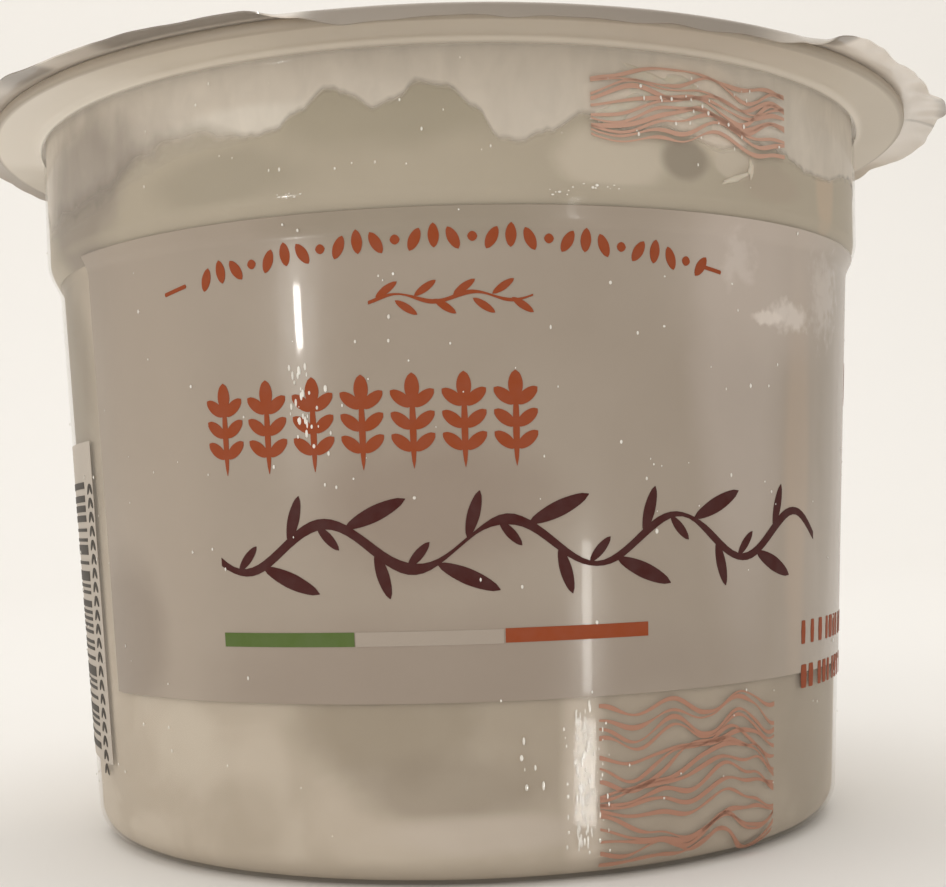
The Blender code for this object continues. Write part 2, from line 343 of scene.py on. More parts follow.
def makeWhey():
    inset = tub["wall"] - whey["bite"]
    level, rise = whey["level"], whey["meniscus"]
    edge = wallRadius(level + rise, inset)
    surface = [(0.0, level)]
    surface += [(edge - 3.2 * mm * (1.0 - i / 8), level + rise * (i / 8) ** 3) for i in range(8)]
    outline = surface + [(wallRadius(z, inset), z) for z in wallHeights(inset, level + rise)]
    outline.append((0.0, inset))
    mesh = turn("wheyCloudy", outline, whey["segments"])
    return finishPiece(newObject("wheyCloudy", mesh, cloudyWhey()), ["whey"])


burrata = {
    "radius": 32.7 * mm, "height": 52.3 * mm, "foot": 1.2 * mm,
    "neck": 6.6 * mm, "neckHeight": 55.0 * mm, "knot": 9.6 * mm, "knotTop": 63.8 * mm,
    "pleats": 11, "rings": 90, "segments": 132,
}


def stretchedCurd():
    # Stretched curd, wet and pulled smooth: porcelain white with a warm cast, a soft
    # sheen and light that goes a little way in.
    material, tree, shader = newMaterial("stretchedCurd", {
        "Roughness": 0.34, "IOR": 1.4, "Subsurface Weight": 0.2, "Subsurface Scale": 1.5 * mm})
    shader.inputs["Subsurface Radius"].default_value = (1.0, 0.8, 0.6)
    place = addNode(tree, "ShaderNodeTexCoord").outputs["Object"]
    fibres = addNode(tree, "ShaderNodeMapping", {}, {"Vector": place, "Scale": (1.0, 1.0, 0.25)})
    grain = addNode(tree, "ShaderNodeTexNoise", {}, {
        "Vector": fibres.outputs[0], "Scale": 1.0 / (1.6 * mm), "Detail": 4.0})
    tone = addNode(tree, "ShaderNodeMix", {"data_type": "RGBA"}, {
        0: grain.outputs[0], 6: linear("#e9e1d2"), 7: linear("#f4eee2")})
    tree.links.new(tone.outputs[2], shader.inputs["Base Color"])
    bump = addNode(tree, "ShaderNodeBump", {}, {
        "Strength": 0.25, "Distance": 0.1 * mm, "Height": grain.outputs[0]})
    tree.links.new(bump.outputs[0], shader.inputs["Normal"])
    return material


def burrataSide(t):
    # the pouch's side from the knot's crown (t = 0) to its foot (t = 1)
    s = burrata
    middle = (s["height"] + s["foot"]) / 2.0
    half = (s["height"] - s["foot"]) / 2.0
    if t < 0.12:
        turnShare = t / 0.12
        return s["knot"] * math.sin(turnShare * math.pi / 2.0), s["knotTop"] - 1.6 * mm * turnShare ** 2
    if t < 0.26:
        down = (t - 0.12) / 0.14
        high = s["knotTop"] - 1.6 * mm
        return s["knot"] + (s["neck"] - s["knot"]) * smoothStep(down, 0, 1), high + (s["neckHeight"] - high) * down
    neckTurn = math.acos(s["neck"] / s["radius"])
    angle = neckTurn - (neckTurn + math.pi / 2.0) * (t - 0.26) / 0.74
    blend = smoothStep(t, 0.26, 0.34)
    ballHeight = middle + half * math.sin(angle)
    return s["radius"] * math.cos(angle), s["neckHeight"] * (1 - blend) + ballHeight * blend


def makeBurrata():
    s = burrata
    outline = [burrataSide(i / s["rings"]) for i in range(s["rings"] + 1)]
    outline[0], outline[-1] = (0.0, outline[0][1]), (0.0, outline[-1][1])
    mesh = turn("burrataBall", outline, s["segments"])
    for vertex in mesh.vertices:
        angle = math.atan2(vertex.co.y, vertex.co.x)
        high = smoothStep(vertex.co.z, s["height"] * 0.45, s["neckHeight"])
        ruffle = 0.08 * high ** 2 * math.cos(s["pleats"] * angle + 2.0 * math.sin(angle))
        ruffle += 0.05 * high * noise.noise(vertex.co / (4 * mm))
        ruffle += 0.012 * noise.noise(vertex.co / (15 * mm))
        vertex.co.x *= 1.0 + ruffle
        vertex.co.y *= 1.0 + ruffle
    return finishPiece(newObject("burrataBall", mesh, stretchedCurd()), ["burrata"])


# the label and everything printed: flat designs, wrapped on the wall
printing = {
    "designRadius": 40.0 * mm,      # where one radian of wall is 40 mm of flat design
    "inkThickness": 0.03 * mm,
    "onLabel": 0.09 * mm,
    "onWall": 0.02 * mm,
}


def newTree(name, sockets):
    # sockets: name to (socket type, starting value)
    tree = bpy.data.node_groups.new(name, "GeometryNodeTree")
    tree.interface.new_socket("Geometry", in_out="INPUT", socket_type="NodeSocketGeometry")
    tree.interface.new_socket("Geometry", in_out="OUTPUT", socket_type="NodeSocketGeometry")
    for label, (kind, value) in sockets.items():
        socket = tree.interface.new_socket(label, in_out="INPUT", socket_type="NodeSocket" + kind)
        if value is not None:
            socket.default_value = value
    return tree, addNode(tree, "NodeGroupInput"), addNode(tree, "NodeGroupOutput")


def runTree(name, tree, values, mesh=None):
    # runs a tree in a modifier and gives back what it makes as a plain mesh
    holder = newObject(name + "Holder", mesh or bpy.data.meshes.new(name + "Start"))
    modifier = holder.modifiers.new("nodes", "NODES")
    modifier.node_group = tree
    for item in tree.interface.items_tree:
        if item.item_type == "SOCKET" and item.in_out == "INPUT" and item.name in values:
            modifier[item.identifier] = values[item.name]
    return plainMesh(holder, name)


def wrapTree():
    # bends a flat design (x along the wall, z up, -y outwards) round the tub's side
    tree, start, end = newTree("wrapOnWall", {"Lift": ("Float", 0.0)})
    flat = addNode(tree, "ShaderNodeSeparateXYZ", {}, {
        0: addNode(tree, "GeometryNodeInputPosition").outputs[0]})
    x, y, z = flat.outputs
    body = addNode(tree, "ShaderNodeMapRange", {}, {
        "Value": z, "From Max": tub["shoulderLow"], "To Min": tub["baseRadius"], "To Max": tub["bodyTopRadius"]})
    step = addNode(tree, "ShaderNodeMapRange", {"interpolation_type": "SMOOTHSTEP"}, {
        "Value": z, "From Min": tub["shoulderLow"], "From Max": tub["shoulderHigh"],
        "To Max": tub["shoulderStep"]})
    flare = addNode(tree, "ShaderNodeMapRange", {}, {
        "Value": z, "From Min": tub["shoulderHigh"], "From Max": tub["height"], "To Max": tub["collarFlare"]})
    short = addNode(tree, "ShaderNodeMath", {"operation": "SUBTRACT"}, {0: tub["baseRound"], 1: z})
    short = addNode(tree, "ShaderNodeMath", {"operation": "MAXIMUM"}, {0: short.outputs[0], 1: 0.0})
    short = addNode(tree, "ShaderNodeMath", {"operation": "POWER"}, {0: short.outputs[0], 1: 2.0})
    kept = addNode(tree, "ShaderNodeMath", {"operation": "SUBTRACT"}, {
        0: tub["baseRound"] ** 2, 1: short.outputs[0]})
    kept = addNode(tree, "ShaderNodeMath", {"operation": "SQRT"}, {0: kept.outputs[0]})
    total = addNode(tree, "ShaderNodeMath", {}, {0: body.outputs[0], 1: step.outputs[0]})
    total = addNode(tree, "ShaderNodeMath", {}, {0: total.outputs[0], 1: flare.outputs[0]})
    total = addNode(tree, "ShaderNodeMath", {}, {0: total.outputs[0], 1: kept.outputs[0]})
    total = addNode(tree, "ShaderNodeMath", {"operation": "SUBTRACT"}, {0: total.outputs[0], 1: tub["baseRound"]})
    total = addNode(tree, "ShaderNodeMath", {}, {0: total.outputs[0], 1: start.outputs["Lift"]})
    total = addNode(tree, "ShaderNodeMath", {"operation": "SUBTRACT"}, {0: total.outputs[0], 1: y})
    angle = addNode(tree, "ShaderNodeMath", {"operation": "DIVIDE"}, {0: x, 1: printing["designRadius"]})
    sine = addNode(tree, "ShaderNodeMath", {"operation": "SINE"}, {0: angle.outputs[0]})
    cosine = addNode(tree, "ShaderNodeMath", {"operation": "COSINE"}, {0: angle.outputs[0]})
    side = addNode(tree, "ShaderNodeMath", {"operation": "MULTIPLY"}, {0: total.outputs[0], 1: sine.outputs[0]})
    ahead = addNode(tree, "ShaderNodeMath", {"operation": "MULTIPLY"}, {0: total.outputs[0], 1: cosine.outputs[0]})
    ahead = addNode(tree, "ShaderNodeMath", {"operation": "MULTIPLY"}, {0: ahead.outputs[0], 1: -1.0})
    spot = addNode(tree, "ShaderNodeCombineXYZ", {}, {0: side.outputs[0], 1: ahead.outputs[0], 2: z})
    placed = addNode(tree, "GeometryNodeSetPosition", {}, {
        "Geometry": start.outputs["Geometry"], "Position": spot.outputs[0]})
    tree.links.new(placed.outputs[0], end.inputs[0])
    return tree


def markTree():
    # one flat mark of unit size: its height falls off towards its ends by a power curve,
    # from a pointed leaf (1.5) through an ellipse (2) and a block with round corners (8) to
    # a square one (over 20)
    tree, start, end = newTree("inkMark", {"Roundness": ("Float", 8.0), "Steps": ("Int", 14)})
    bar = addNode(tree, "GeometryNodeMeshCube", {}, {
        "Size": (1.0, printing["inkThickness"], 1.0), "Vertices X": start.outputs["Steps"]})
    flat = addNode(tree, "ShaderNodeSeparateXYZ", {}, {
        0: addNode(tree, "GeometryNodeInputPosition").outputs[0]})
    share = addNode(tree, "ShaderNodeMath", {"operation": "ABSOLUTE"}, {0: flat.outputs[0]})
    share = addNode(tree, "ShaderNodeMath", {"operation": "MULTIPLY"}, {0: share.outputs[0], 1: 2.0})
    fall = addNode(tree, "ShaderNodeMath", {"operation": "POWER"}, {
        0: share.outputs[0], 1: start.outputs["Roundness"]})
    left = addNode(tree, "ShaderNodeMath", {"operation": "SUBTRACT", "use_clamp": True}, {
        0: 1.0, 1: fall.outputs[0]})
    inverse = addNode(tree, "ShaderNodeMath", {"operation": "DIVIDE"}, {0: 1.0, 1: start.outputs["Roundness"]})
    high = addNode(tree, "ShaderNodeMath", {"operation": "POWER"}, {0: left.outputs[0], 1: inverse.outputs[0]})
    high = addNode(tree, "ShaderNodeMath", {"operation": "MAXIMUM"}, {0: high.outputs[0], 1: 0.05})
    square = addNode(tree, "ShaderNodeMath", {"operation": "GREATER_THAN"}, {0: start.outputs["Roundness"], 1: 20.0})
    high = addNode(tree, "ShaderNodeMath", {"operation": "MAXIMUM"}, {0: high.outputs[0], 1: square.outputs[0]})
    z = addNode(tree, "ShaderNodeMath", {"operation": "MULTIPLY"}, {0: flat.outputs[2], 1: high.outputs[0]})
    spot = addNode(tree, "ShaderNodeCombineXYZ", {}, {0: flat.outputs[0], 1: flat.outputs[1], 2: z.outputs[0]})
    placed = addNode(tree, "GeometryNodeSetPosition", {}, {
        "Geometry": bar.outputs["Mesh"], "Position": spot.outputs[0]})
    tree.links.new(placed.outputs[0], end.inputs[0])
    return tree


def marksTree(wrap, mark):
    # a mark on every point, sized and turned by the point's own values, wrapped on the wall
    tree, start, end = newTree("printedMarks", {
        "Roundness": ("Float", 8.0), "Steps": ("Int", 14), "Lift": ("Float", 0.0), "Ink": ("Material", None)})
    shape = addNode(tree, "GeometryNodeGroup", {"node_tree": mark}, {
        "Roundness": start.outputs["Roundness"], "Steps": start.outputs["Steps"]})
    size = addNode(tree, "GeometryNodeInputNamedAttribute", {"data_type": "FLOAT_VECTOR"}, {"Name": "size"})
    turned = addNode(tree, "GeometryNodeInputNamedAttribute", {"data_type": "FLOAT"}, {"Name": "turned"})
    rotation = addNode(tree, "ShaderNodeCombineXYZ", {}, {1: turned.outputs[0]})
    put = addNode(tree, "GeometryNodeInstanceOnPoints", {}, {
        "Points": start.outputs["Geometry"], "Instance": shape.outputs[0],
        "Rotation": rotation.outputs[0], "Scale": size.outputs[0]})
    real = addNode(tree, "GeometryNodeRealizeInstances", {}, {0: put.outputs[0]})
    bent = addNode(tree, "GeometryNodeGroup", {"node_tree": wrap}, {
        "Geometry": real.outputs[0], "Lift": start.outputs["Lift"]})
    inked = addNode(tree, "GeometryNodeSetMaterial", {}, {
        "Geometry": bent.outputs[0], "Material": start.outputs["Ink"]})
    tree.links.new(inked.outputs[0], end.inputs[0])
    return tree


def markPoints(name, marks):
    # marks are (x, z, length, height, turn); lengths in mm on the flat design, turn in degrees
    mesh = bpy.data.meshes.new(name)
    mesh.from_pydata([(x * mm, 0.0, z * mm) for x, z, *rest in marks], [], [])
    size = mesh.attributes.new("size", "FLOAT_VECTOR", "POINT")
    for i, (x, z, length, height, tilt) in enumerate(marks):
        size.data[i].vector = (length * mm, 1.0, height * mm)
    turned = mesh.attributes.new("turned", "FLOAT", "POINT")
    for i, (x, z, length, height, tilt) in enumerate(marks):
        turned.data[i].value = -math.radians(tilt)
    return mesh


def flowTree(wrap):
    # lines that run along the wall: each drifts and swells by its own noise and shares a wave
    tree, start, end = newTree("flowingLines", {
        "Count": ("Int", 12), "Left": ("Float", 0.0), "Width": ("Float", 0.02), "Bottom": ("Float", 0.0),
        "Panel Height": ("Float", 0.012), "Line Height": ("Float", 0.0005), "Drift": ("Float", 0.001),
        "Drift Length": ("Float", 0.006), "Sway": ("Float", 0.0), "Sway Length": ("Float", 0.015),
        "Seed": ("Int", 1), "Lift": ("Float", 0.0), "Ink": ("Material", None)})
    size = addNode(tree, "ShaderNodeCombineXYZ", {}, {
        0: start.outputs["Width"], 1: printing["inkThickness"], 2: start.outputs["Line Height"]})
    strip = addNode(tree, "GeometryNodeMeshCube", {}, {"Size": size.outputs[0], "Vertices X": 96})
    centre = addNode(tree, "ShaderNodeMath", {"operation": "MULTIPLY_ADD"}, {
        0: start.outputs["Width"], 1: 0.5, 2: start.outputs["Left"]})
    first = addNode(tree, "ShaderNodeCombineXYZ", {}, {0: centre.outputs[0], 2: start.outputs["Bottom"]})
    gaps = addNode(tree, "ShaderNodeMath", {"operation": "SUBTRACT"}, {0: start.outputs["Count"], 1: 1.0})
    gaps = addNode(tree, "ShaderNodeMath", {"operation": "MAXIMUM"}, {0: gaps.outputs[0], 1: 1.0})
    pitch = addNode(tree, "ShaderNodeMath", {"operation": "DIVIDE"}, {
        0: start.outputs["Panel Height"], 1: gaps.outputs[0]})
    step = addNode(tree, "ShaderNodeCombineXYZ", {}, {2: pitch.outputs[0]})
    points = addNode(tree, "GeometryNodeMeshLine", {"mode": "OFFSET"}, {
        "Count": start.outputs["Count"], "Start Location": first.outputs[0], "Offset": step.outputs[0]})
    put = addNode(tree, "GeometryNodeInstanceOnPoints", {}, {
        "Points": points.outputs[0], "Instance": strip.outputs["Mesh"]})
    pick = addNode(tree, "FunctionNodeRandomValue", {"data_type": "FLOAT"}, {
        2: 0.0, 3: 40.0, "Seed": start.outputs["Seed"]})
    named = addNode(tree, "GeometryNodeStoreNamedAttribute", {"domain": "INSTANCE", "data_type": "FLOAT"}, {
        "Geometry": put.outputs[0], "Name": "line", "Value": pick.outputs[1]})
    high = addNode(tree, "ShaderNodeSeparateXYZ", {}, {
        0: addNode(tree, "GeometryNodeInputPosition").outputs[0]})
    level = addNode(tree, "GeometryNodeStoreNamedAttribute", {"domain": "INSTANCE", "data_type": "FLOAT"}, {
        "Geometry": named.outputs[0], "Name": "level", "Value": high.outputs[2]})
    real = addNode(tree, "GeometryNodeRealizeInstances", {}, {0: level.outputs[0]})
    own = addNode(tree, "GeometryNodeInputNamedAttribute", {"data_type": "FLOAT"}, {"Name": "line"}).outputs[0]
    home = addNode(tree, "GeometryNodeInputNamedAttribute", {"data_type": "FLOAT"}, {"Name": "level"}).outputs[0]
    flat = addNode(tree, "ShaderNodeSeparateXYZ", {}, {
        0: addNode(tree, "GeometryNodeInputPosition").outputs[0]})
    along = addNode(tree, "ShaderNodeMath", {"operation": "DIVIDE"}, {
        0: flat.outputs[0], 1: start.outputs["Drift Length"]})
    rise = addNode(tree, "ShaderNodeMath", {"operation": "DIVIDE"}, {0: home, 1: start.outputs["Drift Length"]})
    seed = addNode(tree, "ShaderNodeMath", {"operation": "MULTIPLY"}, {0: start.outputs["Seed"], 1: 7.3})
    nearby = addNode(tree, "ShaderNodeCombineXYZ", {}, {
        0: along.outputs[0], 1: rise.outputs[0], 2: seed.outputs[0]})
    shared = addNode(tree, "ShaderNodeTexNoise", {}, {"Vector": nearby.outputs[0], "Scale": 1.0, "Detail": 0.0})
    alone = addNode(tree, "ShaderNodeCombineXYZ", {}, {0: along.outputs[0], 1: own, 2: seed.outputs[0]})
    stray = addNode(tree, "ShaderNodeTexNoise", {}, {"Vector": alone.outputs[0], "Scale": 1.0, "Detail": 0.0})
    swell = addNode(tree, "ShaderNodeTexNoise", {}, {"Vector": alone.outputs[0], "Scale": 1.9, "Detail": 0.0})
    stray = addNode(tree, "ShaderNodeMath", {"operation": "MULTIPLY"}, {0: stray.outputs[0], 1: 1.9})
    drift = addNode(tree, "ShaderNodeMath", {"operation": "MULTIPLY_ADD"}, {
        0: shared.outputs[0], 1: 3.6, 2: stray.outputs[0]})
    drift = addNode(tree, "ShaderNodeMath", {"operation": "SUBTRACT"}, {0: drift.outputs[0], 1: 2.75})
    turnShare = addNode(tree, "ShaderNodeMath", {"operation": "DIVIDE"}, {
        0: flat.outputs[0], 1: start.outputs["Sway Length"]})
    turnShare = addNode(tree, "ShaderNodeMath", {"operation": "MULTIPLY"}, {0: turnShare.outputs[0], 1: math.tau})
    sway = addNode(tree, "ShaderNodeMath", {"operation": "SINE"}, {0: turnShare.outputs[0]})
    sway = addNode(tree, "ShaderNodeMath", {"operation": "MULTIPLY"}, {
        0: sway.outputs[0], 1: start.outputs["Sway"]})
    path = addNode(tree, "ShaderNodeMath", {"operation": "MULTIPLY_ADD"}, {
        0: drift.outputs[0], 1: start.outputs["Drift"], 2: sway.outputs[0]})
    offLine = addNode(tree, "ShaderNodeMath", {"operation": "SUBTRACT"}, {0: flat.outputs[2], 1: home})
    fat = addNode(tree, "ShaderNodeMapRange", {}, {
        "Value": swell.outputs[0], "From Min": 0.3, "From Max": 0.7, "To Min": 0.55, "To Max": 1.6})
    z = addNode(tree, "ShaderNodeMath", {"operation": "MULTIPLY_ADD"}, {
        0: offLine.outputs[0], 1: fat.outputs[0], 2: path.outputs[0]})
    z = addNode(tree, "ShaderNodeMath", {}, {0: home, 1: z.outputs[0]})
    z = addNode(tree, "ShaderNodeMath", {"operation": "MAXIMUM"}, {0: z.outputs[0], 1: 0.4 * mm})
    spot = addNode(tree, "ShaderNodeCombineXYZ", {}, {0: flat.outputs[0], 1: flat.outputs[1], 2: z.outputs[0]})
    moved = addNode(tree, "GeometryNodeSetPosition", {}, {"Geometry": real.outputs[0], "Position": spot.outputs[0]})
    bent = addNode(tree, "GeometryNodeGroup", {"node_tree": wrap}, {
        "Geometry": moved.outputs[0], "Lift": start.outputs["Lift"]})
    inked = addNode(tree, "GeometryNodeSetMaterial", {}, {
        "Geometry": bent.outputs[0], "Material": start.outputs["Ink"]})
    tree.links.new(inked.outputs[0], end.inputs[0])
    return tree


def printedInk(name, hexText, cover=1.0):
    # Flexo ink on film: one solid colour, a little uneven in weight, with a dull gloss
    material, tree, shader = newMaterial(name, {
        "Roughness": 0.45, "Specular IOR Level": 0.03, "Alpha": cover})
    place = addNode(tree, "ShaderNodeTexCoord").outputs["Object"]
    weight = addNode(tree, "ShaderNodeTexNoise", {}, {"Vector": place, "Scale": 1.0 / (1.2 * mm), "Detail": 3.0})
    full = linear(hexText)
    thin = tuple(c + (0.32 - c) * 0.1 for c in full[:3]) + (1.0,)
    tone = addNode(tree, "ShaderNodeMix", {"data_type": "RGBA"}, {0: weight.outputs[0], 6: full, 7: thin})
    tree.links.new(tone.outputs[2], shader.inputs["Base Color"])
    return material


label = {
    "low": 15.0 * mm, "high": 54.3 * mm, "left": -55.0, "right": 262.0,
    "thickness": 0.05 * mm, "lift": 0.02 * mm, "step": 2.0,
}


def milkyInk():
    # Milky ink printed on the film under a gloss varnish: warm grey, and uneven where the
    # whey and the pouch behind it show through a little. A pale band with wisps high at the right is a painted
    # reflection of a lamp.
    material, tree, shader = newMaterial("milkyInkVarnished", {
        "Roughness": 0.25, "IOR": 1.5, "Specular IOR Level": 0.25,
        "Coat Weight": 0.12, "Coat Roughness": 0.04})
    place = addNode(tree, "ShaderNodeTexCoord").outputs["Object"]
    drift = addNode(tree, "ShaderNodeTexNoise", {}, {"Vector": place, "Scale": 1.0 / (18 * mm), "Detail": 3.0})
    tone = addNode(tree, "ShaderNodeMix", {"data_type": "RGBA"}, {
        0: drift.outputs[0], 6: linear("#9a8d7f"), 7: linear("#aa9e91")})
    shade = paintPatches(tree, tone.outputs[2], [
        (-42.0, 9.0, 33.0, 24.0, "#aa9d8f", 0.6, 0.9),
        # painted reflection: a pale band of lamp light at the right
        (38.0, 7.5, 46.0, 24.0, "#b3a79d", 0.75, 0.8),
        (50.0, 3.0, 33.0, 19.0, "#b3a08e", 0.6, 0.8),
        (60.0, 3.5, 36.0, 17.0, "#978b7c", 0.6, 0.8),
        # painted reflection: the top of that pale band
        (43.5, 15.0, 51.5, 8.5, "#bfb2a7", 0.65, 1.1),
        (0.0, 32.0, 17.0, 4.5, "#94867a", 0.55, 0.9),
        (-50.0, 8.0, 20.0, 7.0, "#8f8275", 0.7, 0.8),
        (-4.0, 14.0, 31.0, 5.0, "#8f7f72", 0.6, 0.9),
        (-3.0, 16.0, 53.5, 2.2, "#948a7a", 0.6, 0.8),
    ], 9 * mm)
    # painted highlight: pale wisps in that band
    shade = paintPatches(tree, shade, [
        (47.5, 4.5, 46.5, 1.1, "#dcd2c9", 0.65, 1.1),
        (42.5, 2.5, 46.2, 0.5, "#ddd2c8", 0.7, 0.8),
        (37.0, 2.4, 50.8, 2.0, "#cbc0b7", 0.6, 1.2),
        (58.0, 4.0, 49.0, 3.0, "#c6bbb2", 0.6, 1.3),
    ], 1.3 * mm, 2.6)
    tree.links.new(shade, shader.inputs["Base Color"])
    ripple = addNode(tree, "ShaderNodeTexNoise", {}, {"Vector": place, "Scale": 1.0 / (3 * mm), "Detail": 2.0})
    bump = addNode(tree, "ShaderNodeBump", {}, {
        "Strength": 0.5, "Distance": 0.06 * mm, "Height": ripple.outputs[0]})
    tree.links.new(bump.outputs[0], shader.inputs["Normal"])
    return material


def wallPatch(name, left, right, low, high, lift, thickness, edge=None):
    # a thin closed sheet on the wall between two directions (degrees) and two heights;
    # edge(angle) may give a lower edge of its own
    columns = max(2, int((right - left) / label["step"])) if edge is None else int((right - left) / 0.6)
    work = bmesh.new()
    grid = []
    for i in range(columns + 1):
        angle = math.radians(left + (right - left) * i / columns)
        floor = low if edge is None else edge(math.degrees(angle))
        heights = wallHeights(floor, high) if edge is None else [
            floor + (high - floor) * (1 - k / 14) for k in range(15)]
        column = []
        for z in heights:
            radius = wallRadius(z) + lift
            column.append(work.verts.new((radius * math.sin(angle), -radius * math.cos(angle), z)))
        grid.append(column)
    for a, b in zip(grid, grid[1:]):
        for k in range(len(a) - 1):
            work.faces.new((a[k], a[k + 1], b[k + 1], b[k]))
    mesh = bpy.data.meshes.new(name)
    work.to_mesh(mesh)
    work.free()
    sheet = newObject(name, mesh)
    solid = sheet.modifiers.new("thickness", "SOLIDIFY")
    solid.thickness = thickness
    solid.offset = 1.0
    return plainMesh(sheet, name)


def makeLabel():
    mesh = wallPatch("labelField", label["left"], label["right"], label["low"], label["high"],
                     label["lift"], label["thickness"])
    return finishPiece(newObject("labelField", mesh, milkyInk()), ["label"])


vine = {"left": -21.5, "right": 38.5, "height": 27.6, "sway": 1.9, "swayLength": 15.2, "line": 0.62}


def vineHeight(x):
    return vine["height"] + vine["sway"] * math.sin(x / vine["swayLength"] * math.tau)


def vineSlope(x):
    rate = math.tau / vine["swayLength"]
    return math.degrees(math.atan(vine["sway"] * rate * math.cos(x * rate)))


def vineLeaves():
    # a large leaf and a small one at every half wave, on alternate sides of the stem
    leaves = []
    halves = int((vine["right"] - vine["left"]) / (vine["swayLength"] / 2.0))
    for i in range(halves):
        x = vine["left"] + (i + 0.55) * vine["swayLength"] / 2.0
        side = 1.0 if vineHeight(x) > vine["height"] else -1.0
        for shift, length, height, lean, sideOf in (
                (0.0, 5.6, 1.3, 50.0, side), (2.6, 3.9, 1.05, 36.0, -side), (-2.4, 2.7, 0.8, 60.0, -side)):
            turn = vineSlope(x + shift) + sideOf * lean
            reach = length / 2.0 + 0.1
            leaves.append((x + shift + reach * math.cos(math.radians(turn)),
                           vineHeight(x + shift) + reach * math.sin(math.radians(turn)), length, height, turn))
    return leaves


def archHeight(x):
    return 51.95 - 2.0 * (x / 22.0) ** 2


def garlandMarks():
    # small leaves leaning in pairs along a shallow arch, with a bead between the pairs
    marks = []
    for i in range(29):
        x = -21.4 + 1.53 * i
        slope = math.degrees(math.atan(-4.0 * x / 22.0 ** 2))
        if i % 4 == 3:
            marks.append((x, archHeight(x), 0.8, 0.8, slope))
        else:
            lean = (64.0, 90.0, 116.0)[i % 4]
            marks.append((x, archHeight(x) + (0.15 if lean == 90.0 else -0.1), 1.95, 0.9, slope + lean))
    return marks


def tallSprigs():
    # seven upright sprigs: a stalk with three pairs of leaves and one at the top
    marks = []
    for i in range(7):
        x, foot = -20.3 + 4.17 * i, 33.7
        marks.append((x, foot + 3.1, 6.2, 0.55, 90.0))
        marks.append((x, foot + 6.45, 2.3, 1.2, 90.0))
        for pair in range(3):
            z = foot + 1.45 + 1.75 * pair
            for side in (-1.0, 1.0):
                marks.append((x + side * 0.92, z + 0.62, 2.15, 1.0, 90.0 - side * 52.0))
    return marks


def codeBars():
    # plain stripes of random widths, which carry no number
    picks = random.Random(5)
    bars, z = [], 9.0
    while z < 34.6:
        height = picks.choice((0.31, 0.31, 0.62, 0.93))
        bars.append((-53.6 + 0.05 * z, z + height / 2.0, 14.6, height, 0.0))
        z += height + picks.choice((0.31, 0.31, 0.62, 0.62))
    return bars


def codeSeeds():
    # a column of small slanting seeds beside the stripes, in pairs like a herringbone
    return [(-44.3 + 0.05 * z + side * 0.42, z, 1.25, 0.52, 90.0 + side * 38.0)
            for z in [7.4 + 1.3 * i for i in range(21)] for side in (-1.0, 1.0)]


def weightRows():
    # two rows of short blocks round the side
    picks = random.Random(3)
    marks = []
    for z in (18.6, 14.65):
        x = 36.2
        while x < 52.0:
            width = picks.uniform(0.7, 1.35)
            marks.append((x + width / 2.0, z, width, 2.1, 0.0))
            x += width + picks.choice((0.5, 0.5, 1.3))
    return marks


